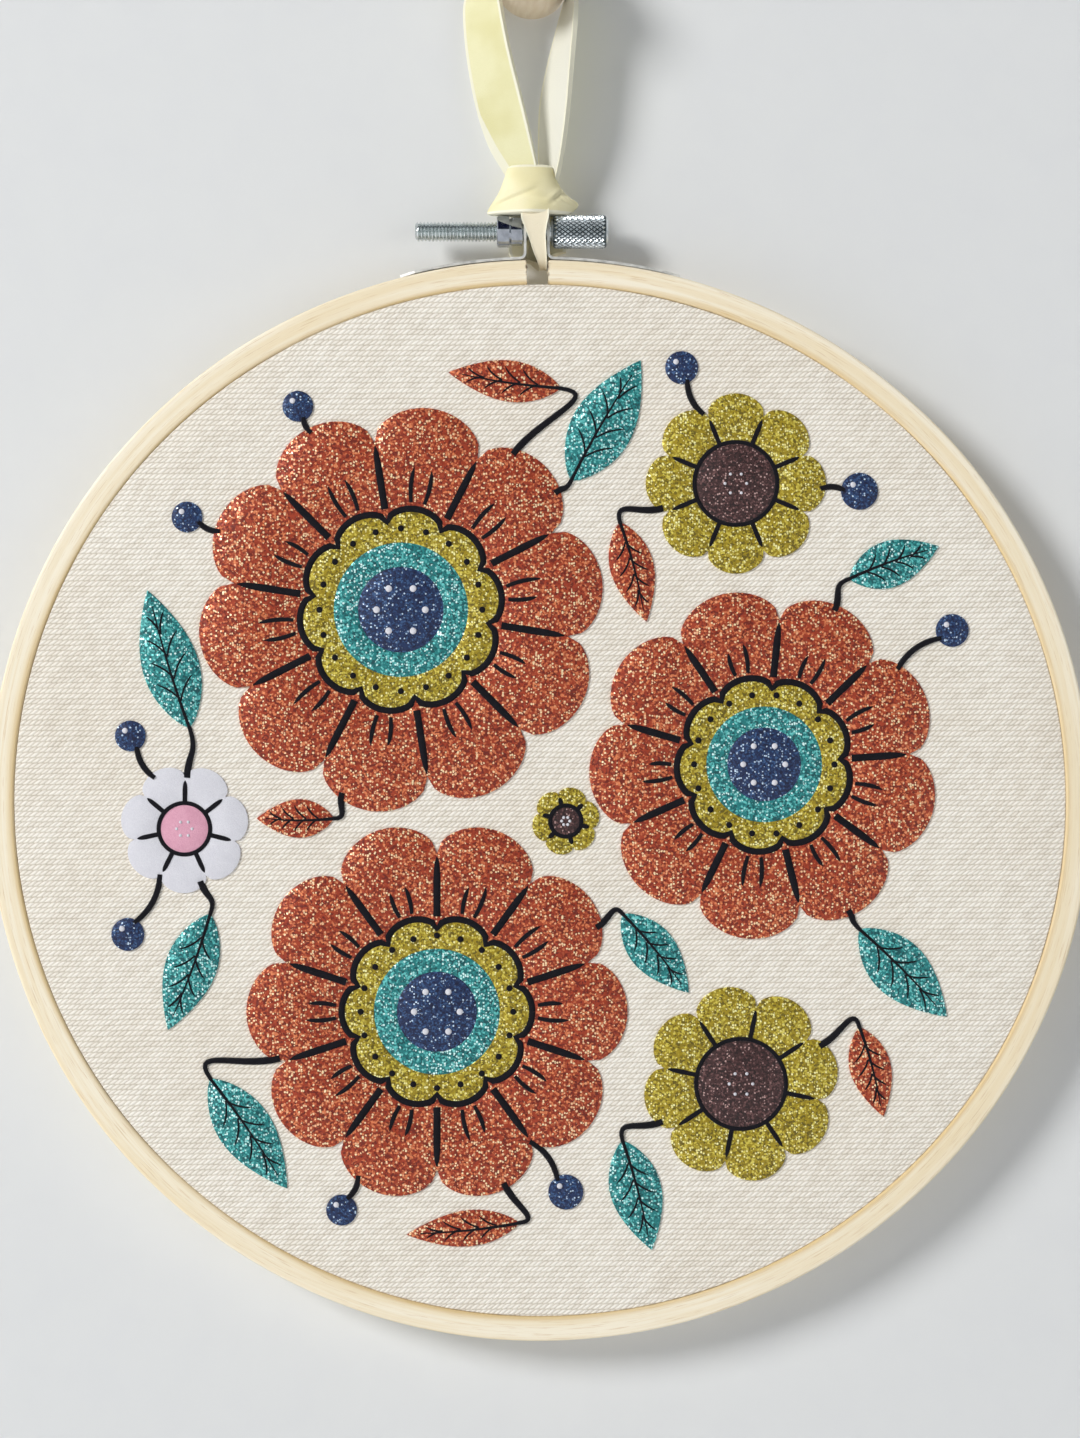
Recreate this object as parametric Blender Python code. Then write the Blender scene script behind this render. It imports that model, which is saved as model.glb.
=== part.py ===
"""Hoop embroidery art hanging by a knotted ribbon from a wooden wall peg.

The part's origin is the middle of the peg's wall face. +Z is up, +X is right seen
from the front, and -Y is the front. Sizes are written in millimetres and turned
into metres by MM. The hoop's own centre is a parent empty, and every hoop piece is
modelled about it.
"""
import math
from collections import namedtuple

import bmesh
import bpy
from mathutils import Matrix, Vector

MM = 0.001
CLEARANCE = 0.3                 # gap between pieces that touch or rest on each other
MERGE_DISTANCE = 0.0005
SHARP_ANGLE = 35


def table(columns, *rows):
    """Rows of numbers with named columns."""
    row_type = namedtuple("Row", columns)
    return [row_type(*row) for row in rows]


# Hoop: two bamboo strips, the outer one split at the top, both slightly oval.
OVAL = 0.981                    # height of the hoop over its width
OUTER_RING_RADIUS = 107.0       # outer edge, measured across
STRIP_THICKNESS = 4.6
STRIP_DEPTH = 9.0               # front to back
OUTER_CORNER = 1.4              # rounding of the outer strip's edges
INNER_CORNER = 1.0
SPLIT_LEFT = -2.4               # x of the two sawn ends at the top
SPLIT_RIGHT = 1.4
OUTER_CORNER_STEPS = 3
INNER_CORNER_STEPS = 2
OUTER_STEPS = 96
INNER_STEPS = 72

# Canvas: stretched over the inner ring, its edge held between the rings.
CANVAS_THICKNESS = 1.0
CANVAS_SETBACK = 0.3            # the cloth's face lies this far behind the outer ring's front
CANVAS_CORNER = 0.8
CANVAS_CORNER_STEPS = 3
CANVAS_STEPS = 72

# Screw clamp on the outer ring.
SCREW_HEIGHT = 111.0            # axis above the hoop's centre
ROD_RADIUS = 1.95
ROD_LEFT = -24.4
HEAD_LEFT = 2.2
HEAD_RIGHT = 13.3
HEAD_RADIUS = 3.3
HEAD_CHAMFER = 0.4
ROD_CHAMFER = 0.4
SCREW_STEPS = 28
NUT_LEFT = -8.4
NUT_RIGHT = -3.45
NUT_CORNER_RADIUS = 3.3
NUT_CHAMFER = 0.7
NUT_CHAMFER_SCALE = 0.84
NUT_SIDES = 6
HOLE_RADIUS = 2.28
HOLE_SIDES = 20
HOLE_MARGIN = 2.0               # how far the drilling runs past nut and leg
PLATE_THICKNESS = 0.5
PLATE_HALF_WIDTH = 3.0
PLATE_TIP_HALF_WIDTH = 1.4
PLATE_TAPER = 3.0
PLATE_BEND = 1.0
PLATE_RUN_STEPS = 8
PLATE_BEND_STEPS = 3
LEG_TOP_ANGLES = (0, 25, 45, 60, 72, 82)    # rounding of the leg's top, about the screw
LEG_LEFT = -2.9                 # middle of the left leg's sheet
LEG_RIGHT = 1.65
PLATE_LEFT_END = -27.3
PLATE_RIGHT_END = 27.3

# Wooden wall peg, its axis along Y.
PEG_RADIUS = 7.2
PEG_SHANK = 15.0                # wall to the start of the rounded end
PEG_DOME = 5.6
PEG_DOME_STEPS = 5
PEG_HEIGHT = 161.1              # axis above the hoop's centre
PEG_OFFSET = -1.6               # axis left of the hoop's centre
WALL_DEPTH = 6.4                # wall plane behind the hoop's centre
PEG_STEPS = 36

# Ribbon: one 10 mm velvet ribbon, looped over the peg, knotted, and looped under the screw.
RIBBON_WIDTH = 10.0
RIBBON_THICKNESS = 1.0
LOOP_RADIUS = PEG_RADIUS + CLEARANCE + RIBBON_THICKNESS / 2

# Film pieces pressed on the canvas.
FILM_THICKNESS = 0.4
PIECE_GAP = 0.35

# Each strand row: height, x, y, width, turn of the ribbon's width away from X.
LEFT_STRAND = table(
    "z x y width turn",
    (119.5, -2.9, -0.9, 5.6, 14),
    (123.6, -3.9, -1.0, 7.0, 20),
    (129.5, -6.1, -0.6, 9.2, 25),
    (136.7, -8.1, -0.2, 10.0, 28),
    (144.5, -9.8, 0.0, 10.0, 33),
    (151.0, -10.8, 0.0, 10.0, 39),
    (156.3, -11.3, 0.0, 10.0, 47),
    (159.0, -11.2, 0.0, 10.0, 66),
)
RIGHT_STRAND = table(
    "z x y width turn",
    (159.0, 6.5, 0.0, 10.0, 84),
    (156.3, 6.0, 0.0, 10.0, 78),
    (151.0, 5.2, 0.0, 10.0, 70),
    (144.5, 4.1, 0.0, 10.0, 63),
    (136.7, 3.0, 0.2, 10.0, 57),
    (129.5, 2.4, 0.6, 8.6, 55),
    (123.6, 1.9, 0.9, 6.4, 52),
    (119.5, 1.2, 0.9, 5.0, 50),
)

# Arc over the peg: angle about the peg, extra radius, turn of the width.
ARC = table(
    "angle extra turn",
    (180, 0.75, 82), (162, 0.35, 88), (144, 0.1, 90), (126, 0.0, 90), (108, 0.0, 90),
    (90, 0.0, 90), (72, 0.0, 90), (54, 0.0, 90), (36, 0.05, 90), (18, 0.15, 90), (0, 0.3, 88),
)

# Knot rows: height, left, right, front, back, roundness of the section.
KNOT = table(
    "z left right front back power",
    (123.8, -5.8, 2.0, -2.3, 2.3, 2.2),
    (123.2, -6.4, 2.5, -2.9, 2.9, 2.4),
    (121.4, -7.0, 3.2, -3.8, 3.4, 2.4),
    (119.0, -7.9, 4.4, -4.4, 3.8, 2.1),
    (117.2, -8.9, 6.0, -4.8, 4.0, 1.8),
    (115.9, -9.8, 7.2, -5.0, 4.0, 1.5),
    (115.0, -10.2, 6.6, -5.0, 3.8, 1.4),
    (114.7, -9.7, 6.0, -4.7, 3.6, 1.4),
)
KNOT_STEPS = 20

# Loop under the screw: angle about it from the front, reach, outer width, slide along X.
UNDER_CENTRE = -0.62
UNDER_WIDTH = 3.3
UNDER_GAP = 0.32
UNDER_LOOP = table(
    "angle reach outer_width slide",
    (0, 1.3, 3.1, 0.0), (22, 1.7, 3.0, 0.1), (45, 2.5, 2.4, 0.3), (68, 3.5, 1.6, 0.5),
    (90, 4.1, 1.1, 0.7), (112, 3.3, 1.6, 0.5), (135, 2.3, 2.4, 0.3), (158, 1.6, 3.0, 0.1),
    (180, 1.3, 3.1, 0.0),
)
UNDER_SHOULDER = 114.6          # where the two runs widen above the legs
UNDER_TOP = 117.0
UNDER_TOP_WIDTH = 4.6

# Blooms: centre, radius, petals and turn.
BLOOM_COLUMNS = "name x z radius petals turn"
BLOOMS = table(
    BLOOM_COLUMNS,
    ("bloom_top", -27.0, 37.0, 39.5, 10, 9),
    ("bloom_side", 43.5, 7.0, 34.0, 9, 24),
    ("bloom_low", -20.0, -41.0, 37.0, 10, 0),
)
GOLD_BLOSSOMS = table(
    BLOOM_COLUMNS,
    ("blossom_top", 38.0, 61.5, 17.5, 8, 0),
    ("blossom_low", 39.0, -55.0, 19.0, 8, 11),
    ("blossom_mid", 5.0, -4.0, 6.6, 6, 15),
)
WHITE_BLOSSOMS = table(
    BLOOM_COLUMNS,
    ("blossom_side", -69.0, -5.5, 12.5, 7, 12),
)

# Rings of colour in a bloom: where each starts and ends, and how deep its petals dip.
RING_COLUMNS = "colour outside inside dip"
BLOOM_RINGS = table(
    RING_COLUMNS,
    ("copper", 1.0, 0.50, 0.17),
    ("gold", 0.50, 0.33, 0.13),
    ("teal", 0.33, 0.21, 0.0),
    ("navy", 0.21, 0.0, 0.0),
)
GOLD_RINGS = table(
    RING_COLUMNS,
    ("gold", 1.0, 0.46, 0.2),
    ("brown", 0.46, 0.0, 0.0),
)
WHITE_RINGS = table(
    RING_COLUMNS,
    ("white", 1.0, 0.40, 0.2),
    ("pink", 0.40, 0.0, 0.0),
)
POINTS_PER_PETAL = 6
ROUND_POINTS = 28

# Leaves and pods: where the stalk starts, which way it points, length and width.
LEAVES = table(
    "name x z angle length width colour",
    ("leaf_top", 6.0, 62.0, 60, 27.0, 12.0, "teal"),
    ("leaf_left", -68.0, 14.0, 107, 28.0, 11.0, "teal"),
    ("leaf_right_upper", 60.0, 43.0, 20, 18.5, 9.0, "teal"),
    ("leaf_right_lower", 62.0, -25.0, -45, 24.0, 11.0, "teal"),
    ("leaf_bottom", 16.0, -66.0, -75, 22.0, 10.0, "teal"),
    ("leaf_left_bottom", -64.0, -54.0, -55, 26.0, 10.5, "teal"),
    ("leaf_left_lower", -64.0, -22.0, 250, 24.0, 10.0, "teal"),
    ("leaf_middle", 16.0, -22.0, -50, 20.0, 9.0, "teal"),
    ("pod_top", 4.0, 80.0, 172, 22.0, 8.0, "copper"),
    ("pod_upper", 15.5, 54.0, -75, 20.0, 8.5, "copper"),
    ("pod_left", -40.0, -3.5, 180, 15.0, 7.5, "copper"),
    ("pod_right", 62.0, -44.0, -75, 18.0, 8.0, "copper"),
    ("pod_bottom", -4.0, -82.0, 186, 22.0, 7.0, "copper"),
)
LEAF_POINTS = 10
LEAF_BELLY = 0.85               # below 1 the widest place is nearer the stalk
LEAF_FULLNESS = 0.9

# Berries: round navy pieces.
BERRIES = table(
    "name x z radius",
    ("berry_1", 27.5, 84.0, 3.2),
    ("berry_2", 62.0, 60.0, 3.6),
    ("berry_3", 80.0, 33.0, 3.2),
    ("berry_4", -79.5, 12.5, 3.0),
    ("berry_5", 5.0, -76.0, 3.4),
    ("berry_6", -80.0, -26.0, 3.2),
    ("berry_7", -38.5, -79.5, 3.0),
    ("berry_8", -68.5, 55.0, 3.0),
    ("berry_9", -47.0, 76.5, 3.0),
)
BERRY_STEPS = 14

# Colours: base colour, roughness and metallic value.
FINISHES = {
    "bamboo": ((0.80, 0.68, 0.47), 0.55, 0.0),
    "peg_wood": ((0.66, 0.52, 0.38), 0.5, 0.0),
    "canvas": ((0.80, 0.74, 0.62), 0.9, 0.0),
    "velvet": ((0.83, 0.79, 0.52), 0.85, 0.0),
    "steel": ((0.62, 0.63, 0.65), 0.25, 1.0),
    "copper": ((0.42, 0.09, 0.035), 0.4, 0.3),
    "gold": ((0.46, 0.34, 0.05), 0.4, 0.3),
    "teal": ((0.05, 0.36, 0.33), 0.4, 0.3),
    "navy": ((0.03, 0.06, 0.16), 0.4, 0.3),
    "brown": ((0.09, 0.03, 0.03), 0.4, 0.3),
    "white": ((0.78, 0.77, 0.80), 0.6, 0.0),
    "pink": ((0.72, 0.40, 0.50), 0.6, 0.0),
}


def clear_scene():
    """Removes whatever the opened scene holds."""
    for obj in list(bpy.data.objects):
        bpy.data.objects.remove(obj, do_unlink=True)


def finish_material(name):
    """Returns the named finish as a Principled material, made once."""
    if name in bpy.data.materials:
        return bpy.data.materials[name]
    colour, roughness, metallic = FINISHES[name]
    material = bpy.data.materials.new(name)
    material.use_nodes = True
    shader = material.node_tree.nodes["Principled BSDF"]
    shader.inputs["Base Color"].default_value = (*colour, 1.0)
    shader.inputs["Roughness"].default_value = roughness
    shader.inputs["Metallic"].default_value = metallic
    return material


def add_piece(name, bm, finish, parent=None, location=(0, 0, 0), smooth=True):
    """Turns a bmesh in millimetres into a named object in metres."""
    bmesh.ops.remove_doubles(bm, verts=bm.verts, dist=MERGE_DISTANCE)
    bmesh.ops.recalc_face_normals(bm, faces=bm.faces)
    bmesh.ops.scale(bm, vec=Vector((MM, MM, MM)), verts=bm.verts)
    mesh = bpy.data.meshes.new(name)
    bm.to_mesh(mesh)
    bm.free()
    mesh.materials.append(finish_material(finish))
    if smooth:
        mesh.shade_smooth()
        mesh.set_sharp_from_angle(angle=math.radians(SHARP_ANGLE))
    obj = bpy.data.objects.new(name, mesh)
    bpy.context.collection.objects.link(obj)
    obj.parent = parent
    obj.location = Vector(location) * MM
    return obj


def add_form(name, bm, parent, location=(0, 0, 0)):
    """Adds a helper shape for a Boolean, which isn't part of the object."""
    form = add_piece(name, bm, "steel", parent, location, smooth=False)
    form.hide_render = True
    form.display_type = "WIRE"
    return form


def combine(obj, form, operation):
    """Cuts a helper shape from an object, or joins it on."""
    boolean = obj.modifiers.new(form.name, "BOOLEAN")
    boolean.operation = operation
    boolean.solver = "EXACT"
    boolean.object = form


def loft(bm, loops, closed=False):
    """Skins a row of equal loops of points, capping the ends unless it closes."""
    rows = [[bm.verts.new(point) for point in loop] for loop in loops]
    pairs = list(zip(rows, rows[1:]))
    if closed:
        pairs.append((rows[-1], rows[0]))
    for first, second in pairs:
        for i in range(len(first)):
            j = (i + 1) % len(first)
            bm.faces.new((first[i], first[j], second[j], second[i]))
    if not closed:
        bm.faces.new(rows[0][::-1])
        bm.faces.new(rows[-1])


def spin_profile(points, axis, steps):
    """Turns a line of points about an axis through the origin, all the way round."""
    bm = bmesh.new()
    verts = [bm.verts.new(point) for point in points]
    edges = [bm.edges.new(pair) for pair in zip(verts, verts[1:])]
    bmesh.ops.spin(bm, geom=verts + edges, cent=(0, 0, 0), axis=axis,
                   angle=2 * math.pi, steps=steps, use_merge=True, use_duplicate=False)
    return bm


def arc_points(centre, radius, start, end, steps):
    """Points on an arc in a plane, angles in degrees."""
    angles = [math.radians(start + (end - start) * i / steps) for i in range(steps + 1)]
    return [(centre[0] + radius * math.cos(a), centre[1] + radius * math.sin(a)) for a in angles]


def rounded_section(inner, outer, front, back, corner, steps):
    """A strip's cross-section as (radius, y) points, with rounded corners."""
    centres = ((outer - corner, back - corner, 0), (inner + corner, back - corner, 90),
               (inner + corner, front + corner, 180), (outer - corner, front + corner, 270))
    points = []
    for radius, y, start in centres:
        points += arc_points((radius, y), corner, start, start + 90, steps)
    return points


def strip_ring(section, start, sweep, steps):
    """Sweeps a closed section about Y from one angle to another, in degrees from +X."""
    loops = []
    for i in range(steps + (sweep < 360)):
        angle = math.radians(start + sweep * i / steps)
        loops.append([(r * math.cos(angle), y, r * math.sin(angle) * OVAL) for r, y in section])
    bm = bmesh.new()
    loft(bm, loops, closed=sweep >= 360)
    return bm


def ring_top(x, offset=0.0):
    """Height of the outer ring's rim at x, moved out by an offset."""
    across = OUTER_RING_RADIUS + offset
    up = OUTER_RING_RADIUS * OVAL + offset
    return up * math.sqrt(1 - (x / across) ** 2)


def build_rings(parent):
    """The split outer ring and the closed inner ring behind the cloth's edge."""
    half = STRIP_DEPTH / 2
    inner_edge = OUTER_RING_RADIUS - STRIP_THICKNESS
    middle = OUTER_RING_RADIUS - STRIP_THICKNESS / 2
    left = 90 - math.degrees(math.asin(SPLIT_LEFT / middle))
    right = 90 - math.degrees(math.asin(SPLIT_RIGHT / middle))
    section = rounded_section(inner_edge, OUTER_RING_RADIUS, -half, half, OUTER_CORNER,
                              OUTER_CORNER_STEPS)
    outer = strip_ring(section, left, 360 + right - left, OUTER_STEPS)
    add_piece("outer_ring", outer, "bamboo", parent)
    rim = inner_edge - CANVAS_THICKNESS - 2 * CLEARANCE
    front = -half + CANVAS_SETBACK + CANVAS_THICKNESS + CLEARANCE
    section = rounded_section(rim - STRIP_THICKNESS, rim, front, front + STRIP_DEPTH,
                              INNER_CORNER, INNER_CORNER_STEPS)
    add_piece("inner_ring", strip_ring(section, 0, 360, INNER_STEPS), "bamboo", parent)


def canvas_face():
    """The y of the cloth's front face."""
    return CANVAS_SETBACK - STRIP_DEPTH / 2


def build_canvas(parent):
    """The stretched cloth: a flat disc whose edge turns back between the rings."""
    rim = OUTER_RING_RADIUS - STRIP_THICKNESS - CLEARANCE
    face = canvas_face()
    edge = face + CANVAS_THICKNESS + STRIP_DEPTH
    outside = [(0.0, face)]
    outside += arc_points((rim - CANVAS_CORNER, face + CANVAS_CORNER), CANVAS_CORNER,
                          -90, 0, CANVAS_CORNER_STEPS)
    outside += [(rim, edge)]
    inside = [(rim - CANVAS_THICKNESS, edge), (rim - CANVAS_THICKNESS, face + CANVAS_THICKNESS),
              (0.0, face + CANVAS_THICKNESS)]
    bm = spin_profile([(r, y, 0) for r, y in outside + inside], (0, 1, 0), CANVAS_STEPS)
    bmesh.ops.scale(bm, vec=Vector((1, 1, OVAL)), verts=bm.verts)
    add_piece("canvas", bm, "canvas", parent)


def plate_sections(end, leg, side):
    """Sections of one clamp plate, from its tip along the rim and up its leg."""
    lift = CLEARANCE + PLATE_THICKNESS / 2
    corner = leg + side * PLATE_BEND
    rows = []
    for i in range(PLATE_RUN_STEPS + 1):
        x = end + (corner - end) * i / PLATE_RUN_STEPS
        taper = math.sqrt(min(abs(x - end) / PLATE_TAPER, 1.0))
        half = PLATE_TIP_HALF_WIDTH + (PLATE_HALF_WIDTH - PLATE_TIP_HALF_WIDTH) * taper
        rows.append((x, ring_top(x, lift), half))
    foot = ring_top(corner, lift) + PLATE_BEND
    for i in range(1, PLATE_BEND_STEPS + 1):
        angle = math.radians(90 * i / PLATE_BEND_STEPS)
        rows.append((corner - side * PLATE_BEND * math.sin(angle),
                     foot - PLATE_BEND * math.cos(angle), PLATE_HALF_WIDTH))
    rows.append((leg, SCREW_HEIGHT - HOLE_RADIUS, PLATE_HALF_WIDTH))
    for angle in LEG_TOP_ANGLES:
        turn = math.radians(angle)
        rows.append((leg, SCREW_HEIGHT + PLATE_HALF_WIDTH * math.sin(turn),
                     PLATE_HALF_WIDTH * math.cos(turn)))
    sections = []
    for i, (x, z, half) in enumerate(rows):
        before, after = rows[max(i - 1, 0)], rows[min(i + 1, len(rows) - 1)]
        along = Vector((after[0] - before[0], 0, after[1] - before[1])).normalized()
        normal = Vector((-along.z, 0, along.x)) * (PLATE_THICKNESS / 2)
        middle = Vector((x, 0, z))
        wide = Vector((0, half, 0))
        sections.append([middle - wide - normal, middle + wide - normal,
                         middle + wide + normal, middle - wide + normal])
    return sections


def bore_form(left, right, parent):
    """A cylinder along the screw's axis that cuts the holes for the rod."""
    bm = bmesh.new()
    turn = Matrix.Rotation(math.radians(90), 4, "Y")
    bmesh.ops.create_cone(bm, cap_ends=True, segments=HOLE_SIDES, radius1=HOLE_RADIUS,
                          radius2=HOLE_RADIUS, depth=right - left, matrix=turn)
    return add_form("bore_form", bm, parent, ((left + right) / 2, 0, SCREW_HEIGHT))


def nut_section(x, scale):
    """A six-sided section of the nut."""
    loop = []
    for i in range(NUT_SIDES):
        angle = 2 * math.pi * i / NUT_SIDES
        loop.append((x, NUT_CORNER_RADIUS * scale * math.cos(angle),
                     SCREW_HEIGHT + NUT_CORNER_RADIUS * scale * math.sin(angle)))
    return loop


def build_clamp(parent):
    """The two bent plates and the nut, each bored for the screw."""
    bore = bore_form(NUT_LEFT - HOLE_MARGIN, LEG_RIGHT + HOLE_MARGIN, parent)
    plates = (("clamp_plate_left", PLATE_LEFT_END, LEG_LEFT, -1),
              ("clamp_plate_right", PLATE_RIGHT_END, LEG_RIGHT, 1))
    for name, end, leg, side in plates:
        bm = bmesh.new()
        loft(bm, plate_sections(end, leg, side))
        combine(add_piece(name, bm, "steel", parent), bore, "DIFFERENCE")
    bm = bmesh.new()
    loft(bm, [nut_section(NUT_LEFT, NUT_CHAMFER_SCALE), nut_section(NUT_LEFT + NUT_CHAMFER, 1.0),
              nut_section(NUT_RIGHT, 1.0)])
    combine(add_piece("nut", bm, "steel", parent, smooth=False), bore, "DIFFERENCE")


def build_thumb_screw(parent):
    """The threaded rod and its round head, turned in one, about its own axis."""
    profile = ((ROD_LEFT, 0), (ROD_LEFT, ROD_RADIUS - ROD_CHAMFER),
               (ROD_LEFT + ROD_CHAMFER, ROD_RADIUS), (HEAD_LEFT, ROD_RADIUS),
               (HEAD_LEFT, HEAD_RADIUS - HEAD_CHAMFER), (HEAD_LEFT + HEAD_CHAMFER, HEAD_RADIUS),
               (HEAD_RIGHT - HEAD_CHAMFER, HEAD_RADIUS), (HEAD_RIGHT, HEAD_RADIUS - HEAD_CHAMFER),
               (HEAD_RIGHT, 0))
    bm = spin_profile([(x, 0, r) for x, r in profile], (1, 0, 0), SCREW_STEPS)
    add_piece("thumb_screw", bm, "steel", parent, (0, 0, SCREW_HEIGHT))


def ribbon_section(middle, wide, flat, width):
    """A ribbon's cross-section: its width, its thickness and where it is."""
    side = wide * (width / 2)
    up = flat * (RIBBON_THICKNESS / 2)
    return [middle - side - up, middle + side - up, middle + side + up, middle - side + up]


def strand_sections():
    """Sections of the ribbon from the knot, over the peg and back into the knot."""
    rows = [(Vector((row.x, row.y, row.z)), row.width, row.turn) for row in LEFT_STRAND]
    for row in ARC:
        around = math.radians(row.angle)
        middle = Vector((PEG_OFFSET, 0, PEG_HEIGHT))
        middle += Vector((math.cos(around), 0, math.sin(around))) * (LOOP_RADIUS + row.extra)
        rows.append((middle, RIBBON_WIDTH, row.turn))
    rows += [(Vector((row.x, row.y, row.z)), row.width, row.turn) for row in RIGHT_STRAND]
    sections = []
    for i, (middle, width, turn) in enumerate(rows):
        along = (rows[min(i + 1, len(rows) - 1)][0] - rows[max(i - 1, 0)][0]).normalized()
        angle = math.radians(turn)
        wide = Vector((math.cos(angle), -math.sin(angle), 0))
        wide = (wide - along * wide.dot(along)).normalized()
        sections.append(ribbon_section(middle, wide, along.cross(wide), width))
    return sections


def knot_sections():
    """Sections of the knot, narrow at the top and flared at the bottom."""
    sections = []
    for row in KNOT:
        middle = Vector(((row.left + row.right) / 2, (row.front + row.back) / 2, row.z))
        loop = []
        for i in range(KNOT_STEPS):
            angle = 2 * math.pi * i / KNOT_STEPS
            c, s = math.cos(angle), math.sin(angle)
            reach = (abs(c) ** row.power + abs(s) ** row.power) ** (-1 / row.power)
            loop.append(middle + Vector(((row.right - row.left) / 2 * c * reach,
                                         (row.back - row.front) / 2 * s * reach, 0)))
        sections.append(loop)
    return sections


def under_run(side, z, width):
    """A section of one of the two upright runs, before or behind the screw."""
    inner = ROD_RADIUS + UNDER_GAP
    reach = UNDER_LOOP[0].reach
    half = width / 2
    return [(UNDER_CENTRE - half, side * inner, z), (UNDER_CENTRE + half, side * inner, z),
            (UNDER_CENTRE + half, side * (inner + reach), z),
            (UNDER_CENTRE - half, side * (inner + reach), z)]


def under_sections():
    """Sections of the folded ribbon that passes under the screw between the legs."""
    inner = ROD_RADIUS + UNDER_GAP
    axis = Vector((UNDER_CENTRE, 0, SCREW_HEIGHT))
    half = Vector((UNDER_WIDTH / 2, 0, 0))
    sections = [under_run(-1, UNDER_TOP, UNDER_TOP_WIDTH), under_run(-1, UNDER_SHOULDER, UNDER_WIDTH)]
    for row in UNDER_LOOP:
        turn = math.radians(row.angle)
        away = Vector((0, -math.cos(turn), -math.sin(turn)))
        near = axis + away * inner
        far = axis + away * (inner + row.reach) + Vector((row.slide, 0, 0))
        far_half = Vector((row.outer_width / 2, 0, 0))
        sections.append([near - half, near + half, far + far_half, far - far_half])
    sections += [under_run(1, UNDER_SHOULDER, UNDER_WIDTH), under_run(1, UNDER_TOP, UNDER_TOP_WIDTH)]
    return sections


def build_ribbon(parent):
    """The whole ribbon as one solid: loop and strands, knot, and loop under the screw."""
    bm = bmesh.new()
    loft(bm, strand_sections())
    ribbon = add_piece("ribbon", bm, "velvet", parent)
    for name, sections in (("knot_form", knot_sections()), ("under_form", under_sections())):
        bm = bmesh.new()
        loft(bm, sections)
        combine(ribbon, add_form(name, bm, parent), "UNION")


def build_peg():
    """The wooden peg, its flat end on the wall and its front end rounded."""
    profile = [(0, 0), (0, PEG_RADIUS), (-PEG_SHANK, PEG_RADIUS)]
    for i in range(1, PEG_DOME_STEPS):
        angle = math.pi / 2 * i / PEG_DOME_STEPS
        profile.append((-PEG_SHANK - PEG_DOME * math.sin(angle), PEG_RADIUS * math.cos(angle)))
    profile.append((-PEG_SHANK - PEG_DOME, 0))
    bm = spin_profile([(0, y, r) for y, r in profile], (0, 1, 0), PEG_STEPS)
    add_piece("wall_peg", bm, "peg_wood")


def film_levels():
    """The y of a film piece's back and front faces."""
    back = canvas_face() - CLEARANCE
    return back, back - FILM_THICKNESS


def film_disc(name, outline, finish, parent):
    """A flat film piece with one outline of (x, z) points."""
    bm = bmesh.new()
    loft(bm, [[(x, y, z) for x, z in outline] for y in film_levels()])
    add_piece(name, bm, finish, parent, smooth=False)


def film_band(name, outer, inner, finish, parent):
    """A flat film piece with an outline and a matching hole."""
    back, front = film_levels()
    bm = bmesh.new()
    loft(bm, [[(x, back, z) for x, z in outer], [(x, front, z) for x, z in outer],
              [(x, front, z) for x, z in inner], [(x, back, z) for x, z in inner]], closed=True)
    add_piece(name, bm, finish, parent, smooth=False)


def petal_outline(bloom, radius, dip, count):
    """A round outline scalloped into rounded petals that dip towards the middle."""
    points = []
    for i in range(count):
        angle = 2 * math.pi * i / count
        bulge = abs(math.cos(bloom.petals * angle / 2))
        r = radius * (1 - dip + dip * math.sqrt(bulge))
        around = angle + math.radians(bloom.turn)
        points.append((bloom.x + r * math.cos(around), bloom.z + r * math.sin(around)))
    return points


def build_bloom(row, rings, parent):
    """One flower: rings of film, each outside the next."""
    for k, ring in enumerate(rings):
        count = row.petals * POINTS_PER_PETAL if ring.dip else ROUND_POINTS
        reach = row.radius * ring.outside - (PIECE_GAP if k else 0.0)
        outer = petal_outline(row, reach, ring.dip, count)
        piece = row.name + "_" + ring.colour
        if ring.inside == 0.0:
            film_disc(piece, outer, ring.colour, parent)
            continue
        inner = petal_outline(row, row.radius * ring.inside, rings[k + 1].dip, count)
        film_band(piece, outer, inner, ring.colour, parent)


def leaf_outline(leaf):
    """A pointed leaf from its stalk end to its tip."""
    angle = math.radians(leaf.angle)
    direction = Vector((math.cos(angle), math.sin(angle)))
    across = Vector((-direction.y, direction.x))
    start = Vector((leaf.x, leaf.z))
    edge = []
    for i in range(1, LEAF_POINTS):
        t = i / LEAF_POINTS
        half = leaf.width / 2 * math.sin(math.pi * t ** LEAF_BELLY) ** LEAF_FULLNESS
        edge.append((t * leaf.length, half))
    points = [start]
    points += [start + direction * along + across * half for along, half in edge]
    points += [start + direction * leaf.length]
    points += [start + direction * along - across * half for along, half in reversed(edge)]
    return [(point.x, point.y) for point in points]


def build_film(parent):
    """All the film motifs on the canvas."""
    for rows, rings in ((BLOOMS, BLOOM_RINGS), (GOLD_BLOSSOMS, GOLD_RINGS),
                        (WHITE_BLOSSOMS, WHITE_RINGS)):
        for row in rows:
            build_bloom(row, rings, parent)
    for leaf in LEAVES:
        film_disc(leaf.name, leaf_outline(leaf), leaf.colour, parent)
    for berry in BERRIES:
        outline = arc_points((berry.x, berry.z), berry.radius, 0, 360, BERRY_STEPS)[:-1]
        film_disc(berry.name, outline, "navy", parent)


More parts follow.
